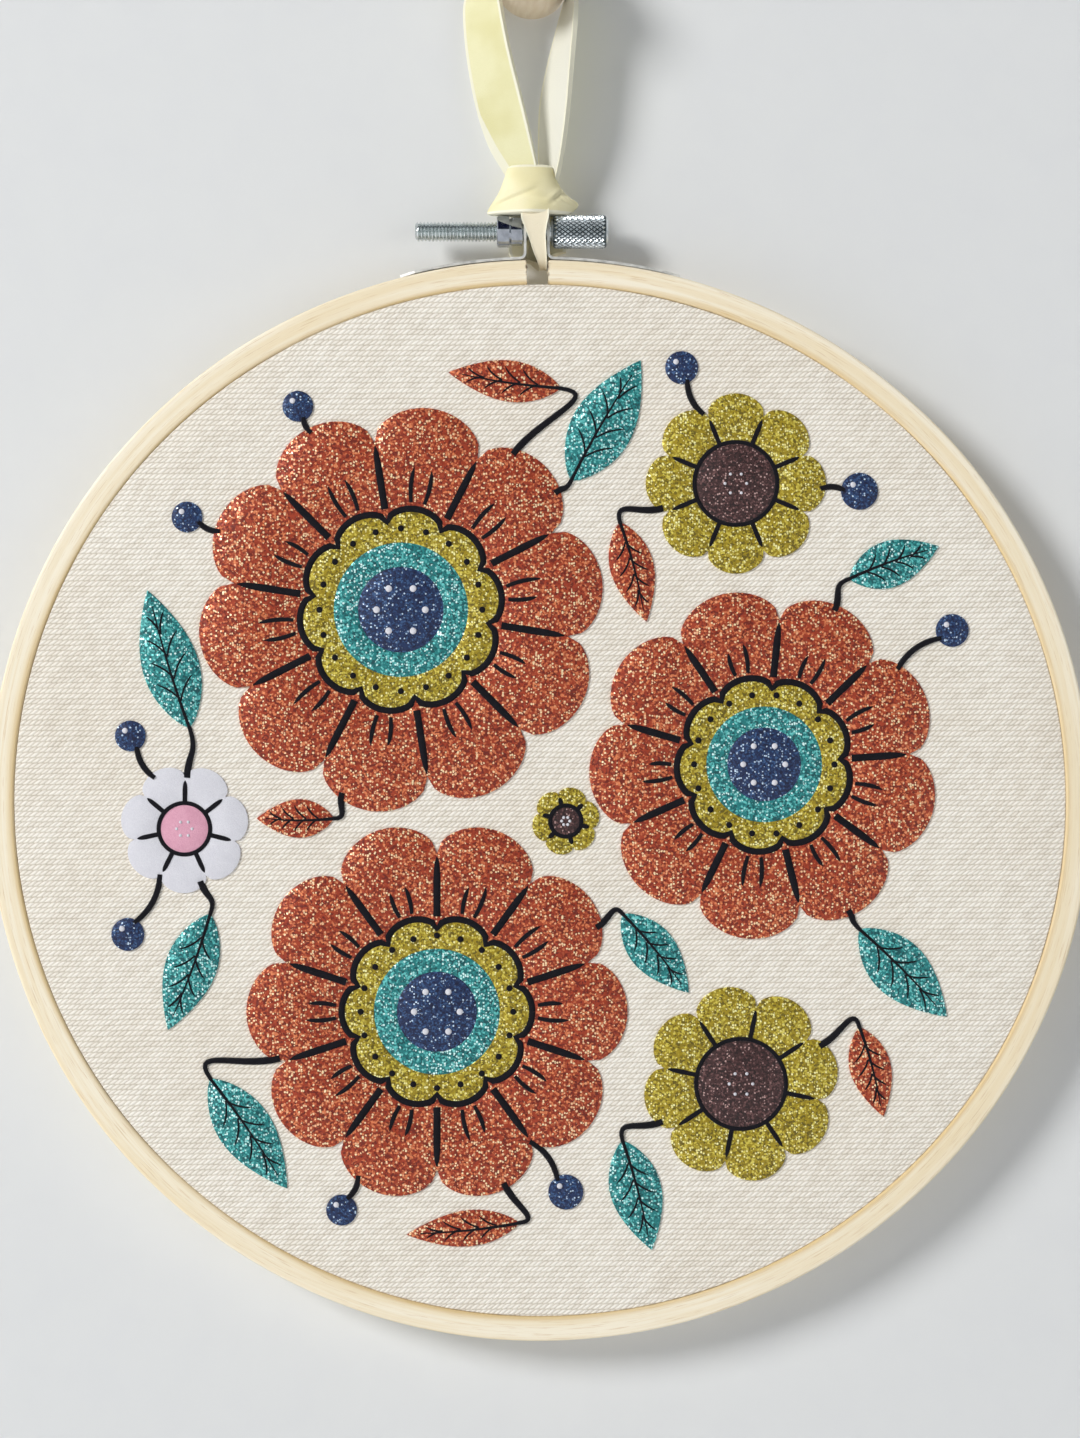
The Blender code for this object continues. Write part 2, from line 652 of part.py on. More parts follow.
def main():
    """Builds the hoop art about the peg's wall face."""
    clear_scene()
    hoop_centre = bpy.data.objects.new("hoop_centre", None)
    bpy.context.collection.objects.link(hoop_centre)
    hoop_centre.location = Vector((-PEG_OFFSET, -WALL_DEPTH, -PEG_HEIGHT)) * MM
    build_peg()
    build_rings(hoop_centre)
    build_canvas(hoop_centre)
    build_clamp(hoop_centre)
    build_thumb_screw(hoop_centre)
    build_ribbon(hoop_centre)
    build_film(hoop_centre)


main()
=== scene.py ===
"""The looks of a hoop embroidery that hangs by a velvet ribbon from a wooden wall peg.

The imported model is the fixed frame. Sizes here are in millimetres in the hoop's own
frame: its origin is the hoop's centre, +X is right, +Z is up and -Y is the front.
"""

import logging
import math
import random
from collections.abc import Callable, Iterable, Sequence
from dataclasses import dataclass, field
from enum import Enum

import bmesh
import bpy
from mathutils import Matrix, Vector, noise

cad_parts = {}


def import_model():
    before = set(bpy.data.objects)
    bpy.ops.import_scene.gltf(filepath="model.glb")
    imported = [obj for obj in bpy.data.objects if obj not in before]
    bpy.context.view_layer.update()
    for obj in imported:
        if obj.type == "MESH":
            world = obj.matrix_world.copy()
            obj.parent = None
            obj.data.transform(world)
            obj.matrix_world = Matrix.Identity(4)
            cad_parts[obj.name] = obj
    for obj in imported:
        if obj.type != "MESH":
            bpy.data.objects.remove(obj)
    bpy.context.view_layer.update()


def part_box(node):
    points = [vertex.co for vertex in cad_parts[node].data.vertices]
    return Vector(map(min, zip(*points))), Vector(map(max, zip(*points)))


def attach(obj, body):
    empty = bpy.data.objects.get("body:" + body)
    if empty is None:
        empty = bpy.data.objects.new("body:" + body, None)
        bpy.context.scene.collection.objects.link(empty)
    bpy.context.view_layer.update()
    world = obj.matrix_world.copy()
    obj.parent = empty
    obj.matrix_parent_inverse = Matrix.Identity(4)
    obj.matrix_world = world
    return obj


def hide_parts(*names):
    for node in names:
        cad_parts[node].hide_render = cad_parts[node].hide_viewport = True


LOG = logging.getLogger("hoop_art")
MM = 0.001
PER_METRE = 1000.0

HOOP = "hoop"
SCREW = "thumb_screw"
TURN = 2 * math.pi

Colour = tuple[float, float, float]
Point = tuple[float, float]
Marker = Callable[[bmesh.types.BMVert, Vector, int], None]


def srgb(red: int, green: int, blue: int) -> Colour:
    """Turns a screen colour into a linear one.

    Args:
        red: red, from 0 to 255.
        green: green, from 0 to 255.
        blue: blue, from 0 to 255.

    Returns:
        The linear colour.
    """
    parts = []
    for value in (red, green, blue):
        share = value / 255
        parts.append(share / 12.92 if share <= 0.04045 else ((share + 0.055) / 1.055) ** 2.4)
    return tuple(parts)


# Shader tools

class Wire:
    """An output socket, on which arithmetic adds Math nodes."""

    def __init__(self, nodes: "Nodes", socket: bpy.types.NodeSocket) -> None:
        """Keeps the socket and the builder whose nodes it belongs to."""
        self.nodes = nodes
        self.socket = socket

    def math(self, operation: str, *others: "Wire | float", first: int = 0) -> "Wire":
        """Adds a Math node.

        Args:
            operation: the Math node's operation.
            others: the other operands.
            first: which operand this wire is.

        Returns:
            The result.
        """
        operands = list(others)
        operands.insert(first, self)
        return self.nodes.wire("ShaderNodeMath", {"operation": operation},
                                 dict(enumerate(operands)))

    def __add__(self, other: "Wire | float") -> "Wire":
        """Adds."""
        return self.math("ADD", other)

    __radd__ = __add__

    def __mul__(self, other: "Wire | float") -> "Wire":
        """Multiplies."""
        return self.math("MULTIPLY", other)

    __rmul__ = __mul__

    def __sub__(self, other: "Wire | float") -> "Wire":
        """Subtracts."""
        return self.math("SUBTRACT", other)

    def __rsub__(self, other: "Wire | float") -> "Wire":
        """Subtracts this from a number."""
        return self.math("SUBTRACT", other, first=1)

    def __truediv__(self, other: "Wire | float") -> "Wire":
        """Divides."""
        return self.math("DIVIDE", other)

    def __pow__(self, other: float) -> "Wire":
        """Raises to a power."""
        return self.math("POWER", other)

    def __abs__(self) -> "Wire":
        """The size without its sign."""
        return self.math("ABSOLUTE")

    def between(self, low: float, high: float, start: float = 0.0, end: float = 1.0) -> "Wire":
        """Maps a range smoothly on to another.

        Args:
            low: the value that gives start.
            high: the value that gives end.
            start: the result at low and before it.
            end: the result at high and past it.

        Returns:
            The mapped value.
        """
        return self.nodes.wire(
            "ShaderNodeMapRange", {"interpolation_type": "SMOOTHSTEP"},
            {"Value": self, "From Min": low, "From Max": high, "To Min": start, "To Max": end})


class Nodes:
    """Adds nodes to one tree."""

    MIX_A, MIX_B, MIX_COLOUR = 6, 7, 2

    def __init__(self, tree: bpy.types.NodeTree) -> None:
        """Keeps the tree."""
        self.tree = tree

    def feed(self, target: bpy.types.NodeSocket, value: "Wire | float | tuple") -> None:
        """Links or sets an input.

        Args:
            target: the input.
            value: a wire to link, or a value; a colour may leave out its alpha.
        """
        if isinstance(value, Wire):
            self.tree.links.new(value.socket, target)
        elif isinstance(value, tuple) and len(value) == 3 and target.type == "RGBA":
            target.default_value = (*value, 1.0)
        else:
            target.default_value = value

    def node(self, kind: str, settings: dict[str, object],
             sockets: dict[str | int, object]) -> bpy.types.Node:
        """Adds a node.

        Args:
            kind: the node's type.
            settings: its own settings, set first; "stops" are a ramp's (place, colour) pairs.
            sockets: a value or a Wire for each named input.

        Returns:
            The node.
        """
        made = self.tree.nodes.new(kind)
        for key, value in settings.items():
            if key == "stops":
                ramp = made.color_ramp
                while len(ramp.elements) < len(value):
                    ramp.elements.new(0.5)
                for element, (place, colour) in zip(ramp.elements, value):
                    element.position = place
                    element.color = (*colour, 1.0)
            else:
                setattr(made, key, value)
        for key, value in sockets.items():
            self.feed(made.inputs[key], value)
        return made

    def wire(self, kind: str, settings: dict[str, object], sockets: dict[str | int, object],
             output: int | str = 0) -> Wire:
        """Adds a node and takes one of its outputs.

        Args:
            kind: the node's type.
            settings: its own settings.
            sockets: a value or a Wire for each named input.
            output: the output that is taken.

        Returns:
            The output.
        """
        return Wire(self, self.node(kind, settings, sockets).outputs[output])

    def place(self, centre: Vector, turn: tuple[float, float, float] = (0, 0, 0)) -> Wire:
        """Object coordinates in millimetres about a centre.

        Args:
            centre: the centre in the row frame, in metres.
            turn: a turn about each axis, in radians.

        Returns:
            The coordinates.
        """
        raw = self.wire("ShaderNodeTexCoord", {}, {}, "Object")
        moved = self.wire("ShaderNodeVectorMath", {"operation": "SUBTRACT"},
                          {0: raw, 1: tuple(centre)})
        return self.wire("ShaderNodeMapping", {"vector_type": "POINT"},
                         {"Vector": moved, "Rotation": turn, "Scale": (PER_METRE,) * 3})

    def parts(self, vector: Wire) -> tuple[Wire, Wire, Wire]:
        """The x, y and z of a vector."""
        split = self.node("ShaderNodeSeparateXYZ", {}, {0: vector})
        return tuple(Wire(self, split.outputs[i]) for i in range(3))

    def vector(self, x: Wire | float, y: Wire | float, z: Wire | float) -> Wire:
        """A vector from three values."""
        return self.wire("ShaderNodeCombineXYZ", {}, {0: x, 1: y, 2: z})

    def attribute(self, name: str) -> Wire:
        """A number stored on the piece's vertices."""
        return self.wire("ShaderNodeAttribute", {"attribute_name": name}, {}, "Fac")

    def noise(self, vector: Wire, scale: float, detail: float = 2.0,
              extra: Wire | None = None) -> Wire:
        """Soft noise from 0 to 1.

        Args:
            vector: where it is read.
            scale: how many features there are to a unit.
            detail: how many finer layers it has.
            extra: a fourth coordinate.

        Returns:
            The noise.
        """
        sockets = {"Vector": vector, "Scale": scale, "Detail": detail}
        if extra is None:
            return self.wire("ShaderNodeTexNoise", {}, sockets)
        return self.wire("ShaderNodeTexNoise", {"noise_dimensions": "4D"}, {**sockets, "W": extra})

    def mix(self, factor: Wire | float, first: Wire | Colour, second: Wire | Colour,
            blend: str = "MIX") -> Wire:
        """Mixes two colours.

        Args:
            factor: how much of the second there is.
            first: a colour.
            second: a colour.
            blend: the way of mixing.

        Returns:
            The mixed colour.
        """
        return self.wire("ShaderNodeMix", {"data_type": "RGBA", "blend_type": blend},
                         {0: factor, self.MIX_A: first, self.MIX_B: second}, self.MIX_COLOUR)

    def ramp(self, value: Wire, stops: Sequence[tuple[float, Colour]]) -> Wire:
        """Looks a value up among colours."""
        return self.wire("ShaderNodeValToRGB", {"stops": stops}, {0: value})

    def bump(self, height: Wire, depth: float, strength: float = 1.0) -> Wire:
        """Turns a height into a normal.

        Args:
            height: the height, from 0 to 1.
            depth: how deep that is, in millimetres.
            strength: how much of it shows.

        Returns:
            The normal.
        """
        return self.wire("ShaderNodeBump", {},
                         {"Height": height, "Distance": depth * MM, "Strength": strength})


class Surface(Nodes):
    """One material: its Principled shader and the nodes that feed it."""

    def __init__(self, name: str, **constants: float | tuple) -> None:
        """Makes the material.

        Args:
            name: the material's name.
            constants: the shader's fixed values, named as its sockets with _ for a space.
        """
        self.material = bpy.data.materials.new(name)
        self.material.use_nodes = True
        super().__init__(self.material.node_tree)
        self.shader = self.tree.nodes["Principled BSDF"]
        for key, value in constants.items():
            self.set(key.replace("_", " ").title().replace("Ior", "IOR"), value)

    def set(self, socket: str, value: Wire | float | tuple) -> None:
        """Links or sets one of the shader's sockets."""
        self.feed(self.shader.inputs[socket], value)


# Finishes

@dataclass(frozen=True)
class Bamboo:
    """Pale bare bamboo with faint streaks that run along the strip, with painted shade on its inner edge
    and near its sawn ends.
    """

    centre: Vector
    oval: float
    split: Point = (-2.4, 1.4)
    outer_strip: Point = (101.4, 101.5)
    inner_shade_band: Point = (103.6, 102.4)
    end_shade_band: Point = (102.4, 106.0)
    pale: Colour = srgb(246, 236, 213)
    deep: Colour = srgb(236, 218, 181)
    fibre: Colour = srgb(208, 176, 128)
    # Painted shade: the tan of the strip's rounded inner edge.
    inner_edge_shade: Colour = srgb(214, 182, 120)
    # Painted shade: very dark brown for the sawn ends in the gap.
    end_shade: Colour = srgb(70, 44, 24)

    def material(self) -> bpy.types.Material:
        """Builds the material."""
        look = Surface("bamboo", roughness=0.5, specular_ior_level=0.35)
        place = look.place(self.centre)
        x, y, z = look.parts(place)
        high = z / self.oval
        radius = (x * x + high * high) ** 0.5
        across_x, across_z = x / radius, high / radius
        bands, streaks, hairs = (
            look.noise(look.vector(across_x * around, across_z * around, radius * deep), 1.0, detail,
                       y * deep)
            for around, deep, detail in ((1.6, 0.5, 2.0), (4.0, 1.7, 3.0), (22.0, 7.0, 2.0)))
        colour = look.mix(bands.between(0.36, 0.68, 0.0, 0.75), self.pale, self.deep)
        colour = look.mix(streaks.between(0.42, 0.70, 0.0, 0.60), colour, self.deep)
        colour = look.mix(hairs.between(0.56, 0.72, 0.0, 0.55), colour, self.fibre)
        outer = radius.between(*self.outer_strip)
        # Painted shade: a tan band along the outer strip's inner edge, where the rounded edge turns from
        # the light.
        edge = radius.between(*self.inner_shade_band) * outer
        colour = look.mix(edge * bands.between(0.3, 0.6, 0.35, 0.70), colour, self.inner_edge_shade)
        # Painted shade: very dark brown on the top of the outer strip near its sawn ends, where the gap
        # between them lies in shade.
        middle = (self.split[0] + self.split[1]) / 2
        half = (self.split[1] - self.split[0]) / 2
        ragged = look.noise(place, 1.3, 3.0)
        reach = abs(x - middle) - half + (ragged - 0.5) * 1.2
        end_shade_mask = reach.between(-0.1, 0.55, 1.0, 0.0) * outer * z.between(0.0, 1.0)
        colour = look.mix(end_shade_mask * radius.between(*self.end_shade_band, 0.45, 1.0), colour, self.end_shade)
        look.set("Base Color", colour)
        look.set("Roughness", hairs.between(0.3, 0.7, 0.44, 0.60))
        look.set("Normal", look.bump(streaks * 0.6 + hairs * 0.4, 0.09, 0.6))
        return look.material


@dataclass(frozen=True)
class Canvas:
    """Heavy cream cloth: rows of short slanting threads, each row shifted from the next, with painted light
    on the threads' crowns and painted shade between them.
    """

    centre: Vector
    thread_pitch: float = 1.04
    row_pitch: float = 1.04
    row_shift: float = 0.36
    slant: float = 1.2
    # Painted light for the threads' crowns, the cloth's mid cream, and painted shade for the hollows.
    light: Colour = srgb(252, 247, 236)
    middle: Colour = srgb(234, 226, 212)
    shade: Colour = srgb(196, 185, 168)
    warmth: Colour = srgb(226, 212, 190)

    def material(self) -> bpy.types.Material:
        """Builds the material."""
        look = Surface("canvas", roughness=0.85, specular_ior_level=0.2, sheen_weight=0.15)
        place = look.place(self.centre)
        x, _, z = look.parts(place)
        drift = look.parts(look.wire("ShaderNodeTexNoise", {},
                                     {"Vector": place, "Scale": 0.12, "Detail": 3.0}, "Color"))
        row = (z + (drift[0] - 0.5) * 0.4) / self.row_pitch
        whole = row.math("FLOOR")
        up = row - whole - 0.5
        along = (x + (drift[1] - 0.5) * 1.2) / self.thread_pitch
        along = along + whole * self.row_shift - up * self.slant
        thread = along.math("FLOOR")
        across = along - thread - 0.5
        own = look.wire("ShaderNodeTexWhiteNoise", {"noise_dimensions": "2D"},
                        {"Vector": look.vector(thread, whole, 0.0)})
        crown_x = 1.0 - (abs(across) * 2.0) ** 1.6
        crown_z = 1.0 - (abs(up) * 2.0) ** 3.0
        weft = crown_x * crown_z * (own * 0.36 + 0.82)
        fuzz = look.noise(place, 4.0, 3.0)
        cross = (1.0 - abs(abs(across) * 2.0 - 1.0) * 2.2).math("MAXIMUM", 0.0) * 0.22
        height = weft.math("MAXIMUM", cross) + (fuzz - 0.5) * 0.30
        # Painted light and shade: the ramp paints each thread's crown light and the hollows between threads
        # and rows in shade.
        tone = height + (own - 0.5) * 0.18
        colour = look.ramp(tone, ((0.0, self.shade), (0.34, self.middle), (1.0, self.light)))
        colour = look.mix(look.noise(place, 0.03, 2.0).between(0.4, 0.7, 0.0, 0.12), colour,
                          self.warmth, "MULTIPLY")
        look.set("Base Color", colour)
        look.set("Normal", look.bump(height, 0.20, 0.6))
        return look.material


@dataclass(frozen=True)
class Glitter:
    """Film full of small flakes that each face their own way, with painted reflections and painted glints
    on the flakes.
    """

    name: str
    # The dark, body and bright tones paint each flake's reflection; the last colour is a painted glint.
    dark: Colour
    body: Colour
    bright: Colour
    painted_glint: Colour
    flake: float = 0.46
    sparks: float = 0.30

    def material(self) -> bpy.types.Material:
        """Builds the material."""
        look = Surface(self.name + "_glitter", specular_ior_level=0.6)
        place = look.place(Vector((0, 0, 0)))
        cells = look.node("ShaderNodeTexVoronoi", {}, {"Vector": place, "Scale": 1 / self.flake})
        grain = look.node("ShaderNodeTexVoronoi", {}, {"Vector": place, "Scale": 1.25 / self.flake})
        chance, tint, _ = look.parts(Wire(look, cells.outputs["Color"]))
        fleck, _, _ = look.parts(Wire(look, grain.outputs["Color"]))
        crowd = look.noise(place, 0.10, 2.0).between(0.3, 0.7, -0.03, 0.03)
        # Painted glints: by chance a share of the flakes takes a bright colour, as if catching the light.
        lit = (chance + crowd).between(1.0 - self.sparks, 1.02 - self.sparks)
        round_flake = Wire(look, cells.outputs["Distance"]).between(0.44, 0.60, 1.0, 0.0)
        # Painted reflection: each flake's tone from dark to bright stands in for how much light it
        # reflects.
        colour = look.ramp(fleck, ((0.18, self.dark), (0.42, self.body), (0.72, self.body),
                                   (0.92, self.bright)))
        colour = look.mix(tint.between(0.5, 1.0, 0.0, 0.35), colour, self.dark)
        painted_glint = look.mix(tint.between(0.05, 0.55), self.bright, self.painted_glint)
        look.set("Base Color", look.mix(lit * round_flake, colour, painted_glint))
        look.set("Metallic", lit.between(0.0, 1.0, 0.2, 0.35))
        look.set("Roughness", chance.between(0.0, 1.0, 0.55, 0.30))
        look.set("Normal", look.bump(self.facets(look, place, cells), 0.30, 0.8))
        return look.material

    def facets(self, look: Surface, place: Wire, cells: bpy.types.Node) -> Wire:
        """A height that tilts each flake its own way.

        Args:
            look: the surface.
            place: the coordinates.
            cells: the node whose cells are the flakes.

        Returns:
            The height.
        """
        position, tilt = Wire(look, cells.outputs["Position"]), Wire(look, cells.outputs["Color"])
        away = look.wire("ShaderNodeVectorMath", {"operation": "SUBTRACT"}, {0: place, 1: position})
        lean = look.wire("ShaderNodeVectorMath", {"operation": "SUBTRACT"}, {0: tilt, 1: (0.5,) * 3})
        return look.wire("ShaderNodeVectorMath", {"operation": "DOT_PRODUCT"}, {0: away, 1: lean},
                         "Value")


@dataclass(frozen=True)
class Felted:
    """A soft matt film or flock with fine fuzz."""

    name: str
    colour: Colour
    shade: Colour
    sheen: float = 0.3

    def material(self) -> bpy.types.Material:
        """Builds the material."""
        look = Surface(self.name, roughness=0.9, specular_ior_level=0.15, sheen_weight=self.sheen,
                       sheen_roughness=0.4)
        place = look.place(Vector((0, 0, 0)))
        fuzz = look.noise(place, 6.0, 3.0)
        patch = look.noise(place, 0.5, 2.0)
        colour = look.mix(fuzz.between(0.3, 0.75, 0.0, 0.6), self.colour, self.shade)
        look.set("Base Color", look.mix(patch.between(0.4, 0.7, 0.0, 0.25), colour, self.shade))
        look.set("Normal", look.bump(fuzz, 0.10, 0.8))
        return look.material


@dataclass(frozen=True)
class Velvet:
    """Pale yellow velvet ribbon: a piled face, a smooth cream back and woven edges."""

    name: str = "velvet"
    face: Colour = srgb(225, 221, 180)
    deep: Colour = srgb(210, 203, 146)
    back: Colour = srgb(222, 220, 207)
    selvedge: Colour = srgb(231, 228, 206)
    selvedge_start: float = 0.89

    def material(self) -> bpy.types.Material:
        """Builds the material; "across" runs from -1 to 1 and "pile" is 1 on the piled face."""
        look = Surface(self.name, roughness=0.8, specular_ior_level=0.15, sheen_weight=0.25,
                       sheen_roughness=0.35, sheen_tint=srgb(255, 252, 214))
        place = look.place(Vector((0, 0, 0)))
        across, pile = look.attribute("across"), look.attribute("pile")
        nap = look.noise(place, 0.11, 2.0)
        fuzz = look.noise(place, 7.0, 2.0)
        colour = look.mix(nap.between(0.36, 0.70, 0.0, 0.6), self.face, self.deep)
        colour = look.mix(fuzz.between(0.4, 0.7, 0.0, 0.18), colour, self.deep)
        colour = look.mix(pile.between(0.3, 0.7), self.back, colour)
        edge = (abs(across) + fuzz * 0.06).between(self.selvedge_start, self.selvedge_start + 0.05)
        look.set("Base Color", look.mix(edge, colour, self.selvedge))
        look.set("Normal", look.bump(fuzz, 0.12, 0.7))
        return look.material


@dataclass(frozen=True)
class Steel:
    """Plated or polished metal with faint streaks."""

    name: str
    colour: Colour
    roughness: float
    streak: Vector

    def material(self) -> bpy.types.Material:
        """Builds the material."""
        look = Surface(self.name, metallic=1.0)
        raw = look.place(Vector((0, 0, 0)))
        place = look.wire("ShaderNodeVectorMath", {"operation": "MULTIPLY"},
                          {0: raw, 1: tuple(self.streak)})
        streaks = look.noise(place, 2.0, 3.0)
        dull = look.noise(raw, 0.6, 2.0)
        shade = tuple(part * 0.72 for part in self.colour)
        look.set("Base Color", self.tint(look, look.mix(dull.between(0.35, 0.75), self.colour, shade)))
        look.set("Roughness", streaks.between(0.3, 0.75, self.roughness, self.roughness + 0.16))
        look.set("Normal", look.bump(streaks, 0.02, 0.25))
        return look.material

    def tint(self, look: Surface, colour: Wire) -> Wire:
        """The metal's colour, which plain metal keeps as it is."""
        return colour


@dataclass(frozen=True)
class CutSteel(Steel):
    """Plated steel turned about an axis along X, with painted shade in its cut grooves."""

    axis: Vector
    root: float
    crest: float
    # Painted shade for the grooves.
    groove_shade: Colour
    core: float = 0.06

    def tint(self, look: Surface, colour: Wire) -> Wire:
        """Paints shade that darkens the metal from the crests down to the roots, and leaves the ends
        unshaded.

        Args:
            look: the surface.
            colour: the metal's colour.

        Returns:
            The darkened colour.
        """
        _, y, z = look.parts(look.place(self.axis))
        radius = (y * y + z * z) ** 0.5
        ends = radius.between(self.root - self.core * 2, self.root - self.core, 1.0, 0.0)
        # Painted shade: the thread's roots and the knurl's valleys darken; crests and ends keep the metal's
        # colour.
        unshaded = radius.between(self.root, self.crest).math("MAXIMUM", ends)
        return look.mix(unshaded, self.groove_shade, colour)


@dataclass(frozen=True)
class PegWood:
    """Smooth pinkish wood with grain along the peg and rings on its end."""

    centre: Vector
    pale: Colour = srgb(226, 209, 182)
    deep: Colour = srgb(208, 184, 150)

    def material(self) -> bpy.types.Material:
        """Builds the material."""
        look = Surface("peg_wood", roughness=0.42, coat_weight=0.2, coat_roughness=0.3)
        x, y, z = look.parts(look.place(self.centre))
        off_x, off_z = x + 9.0, z - 5.0
        rings = (off_x * off_x + off_z * off_z) ** 0.5
        wander = look.noise(look.vector(x * 0.15, y * 0.05, z * 0.15), 1.0, 2.0)
        growth = ((rings * 1.1 + wander * 3.0) * TURN).math("SINE") * 0.5 + 0.5
        pores = look.noise(look.vector(x * 3.0, y * 0.25, z * 3.0), 1.0, 3.0)
        colour = look.mix(growth * 0.35 + pores.between(0.4, 0.7) * 0.2, self.pale, self.deep)
        look.set("Base Color", colour)
        look.set("Normal", look.bump(pores, 0.05, 0.4))
        return look.material


# Mesh tools

@dataclass(frozen=True)
class HoopFrame:
    """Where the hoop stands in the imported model."""

    centre: Vector
    oval: float

    @classmethod
    def from_model(cls) -> "HoopFrame":
        """Reads the centre and the oval shape from the two strips' boxes."""
        low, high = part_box("inner_ring")
        strip_low, strip_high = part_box("outer_ring")
        size = high - low
        centre = Vector(((low.x + high.x) / 2, (strip_low.y + strip_high.y) / 2,
                         (low.z + high.z) / 2))
        return cls(centre, size.z / size.x)

    def local_box(self, node: str) -> tuple[Vector, Vector]:
        """A CAD node's box in the hoop's own millimetres."""
        low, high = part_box(node)
        return (low - self.centre) * PER_METRE, (high - self.centre) * PER_METRE


class Workshop:
    """Turns bmeshes in the hoop's millimetres into finished pieces."""

    MERGE = 0.0005

    def __init__(self, frame: HoopFrame) -> None:
        """Keeps the frame that pieces are placed in."""
        self.frame = frame

    def finish(self, name: str, bm: bmesh.types.BMesh, finishes: Sequence[bpy.types.Material],
               slot: str, replaces: Sequence[str] = (), body: str = HOOP,
               sharp: float = 40.0) -> bpy.types.Object:
        """Places a piece, dresses it and puts it on its body.

        Args:
            name: the piece's name.
            bm: its shape, which is used up.
            finishes: its materials, one for each material index.
            slot: not used.
            replaces: the CAD nodes that it stands for.
            body: the CAD body that it rides on.
            sharp: edges that turn more than this many degrees look sharp.

        Returns:
            The piece.
        """
        bmesh.ops.remove_doubles(bm, verts=bm.verts, dist=self.MERGE)
        bmesh.ops.recalc_face_normals(bm, faces=bm.faces)
        bmesh.ops.scale(bm, vec=Vector((MM, MM, MM)), verts=bm.verts)
        bmesh.ops.translate(bm, vec=self.frame.centre, verts=bm.verts)
        mesh = bpy.data.meshes.new(name)
        bm.to_mesh(mesh)
        bm.free()
        for material in finishes:
            mesh.materials.append(material)
        mesh.shade_smooth()
        mesh.set_sharp_from_angle(angle=math.radians(sharp))
        piece = bpy.data.objects.new(name, mesh)
        bpy.context.scene.collection.objects.link(piece)
        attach(piece, body)
        if replaces:
            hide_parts(*replaces)
        LOG.info("%s: %d faces", name, len(mesh.polygons))
        return piece


def arc(centre: Point, radius: float, start: float, end: float, steps: int) -> list[Point]:
    """Points on an arc.

    Args:
        centre: its centre.
        radius: its radius.
        start: its first angle, in degrees.
        end: its last angle, in degrees.
        steps: how many pieces it is in.

    Returns:
        The points.
    """
    angles = [math.radians(start + (end - start) * i / steps) for i in range(steps + 1)]
    return [(centre[0] + radius * math.cos(a), centre[1] + radius * math.sin(a)) for a in angles]


def rounded_box(left: float, right: float, low: float, high: float, corner: float,
                steps: int, runs: int = 1) -> list[Point]:
    """A rectangle with rounded corners, whose straight sides are in several runs.

    Args:
        left: its left side.
        right: its right side.
        low: its lower side.
        high: its upper side.
        corner: its corners' radius.
        steps: how many pieces a corner is in.
        runs: how many pieces a straight side is in.

    Returns:
        The points, counterclockwise.
    """
    corners = ((right - corner, high - corner, 0), (left + corner, high - corner, 90),
               (left + corner, low + corner, 180), (right - corner, low + corner, 270))
    points = []
    for i, (x, y, start) in enumerate(corners):
        points += arc((x, y), corner, start, start + 90, steps)
        after = corners[(i + 1) % 4]
        x_after, y_after = arc(after[:2], corner, after[2], after[2], 1)[0]
        x_last, y_last = points[-1]
        for run in range(1, runs):
            share = run / runs
            points.append((x_last + (x_after - x_last) * share,
                           y_last + (y_after - y_last) * share))
    return points


def ring_of(bm: bmesh.types.BMesh, points: Iterable[Vector]) -> list[bmesh.types.BMEdge]:
    """Joins points into a closed loop of edges."""
    verts = [bm.verts.new(point) for point in points]
    return [bm.edges.new(pair) for pair in zip(verts, verts[1:] + verts[:1])]


def turned(points: Sequence[Vector], axis: Vector, centre: Vector, steps: int) -> bmesh.types.BMesh:
    """Spins a line of points all the way round.

    Args:
        points: the line.
        axis: the axis' direction.
        centre: a point on the axis.
        steps: how many pieces the turn is in.

    Returns:
        The spun shape.
    """
    bm = bmesh.new()
    verts = [bm.verts.new(point) for point in points]
    edges = [bm.edges.new(pair) for pair in zip(verts, verts[1:])]
    bmesh.ops.spin(bm, geom=verts + edges, cent=centre, axis=axis, angle=TURN, steps=steps,
                   use_merge=True, use_duplicate=False)
    return bm


def join(bm: bmesh.types.BMesh, other: bmesh.types.BMesh) -> None:
    """Adds another bmesh to this one, and frees it.

    Args:
        bm: the shape that is added to.
        other: the shape that is used up.
    """
    mesh = bpy.data.meshes.new("joined")
    other.to_mesh(mesh)
    other.free()
    bm.from_mesh(mesh)
    bpy.data.meshes.remove(mesh)


def sweep(bm: bmesh.types.BMesh, section: Sequence[Vector], frames: Sequence[Matrix],
          mark: Marker | None = None) -> None:
    """Carries a closed section along a row of frames, and closes both ends.

    Args:
        bm: the shape that it is added to.
        section: the section's points, in the first frame's own plane.
        frames: where the section stands at each station.
        mark: called with each vertex, its place in the section and its station.
    """
    edges = ring_of(bm, [frames[0] @ point for point in section])
    verts = [edge.verts[0] for edge in edges]
    bmesh.ops.edgeloop_fill(bm, edges=edges)
    stations = [verts]
    for before, after in zip(frames, frames[1:]):
        made = bmesh.ops.extrude_edge_only(bm, edges=edges)["geom"]
        verts = [part for part in made if isinstance(part, bmesh.types.BMVert)]
        fresh = set(verts)
        edges = [part for part in made if isinstance(part, bmesh.types.BMEdge)
                 and part.verts[0] in fresh and part.verts[1] in fresh]
        bmesh.ops.transform(bm, matrix=after @ before.inverted(), space=Matrix.Identity(4),
                            verts=verts)
        stations.append(verts)
    bmesh.ops.edgeloop_fill(bm, edges=edges)
    if mark:
        for i, (verts, frame) in enumerate(zip(stations, frames)):
            back = frame.inverted()
            for vert in verts:
                mark(vert, back @ vert.co, i)


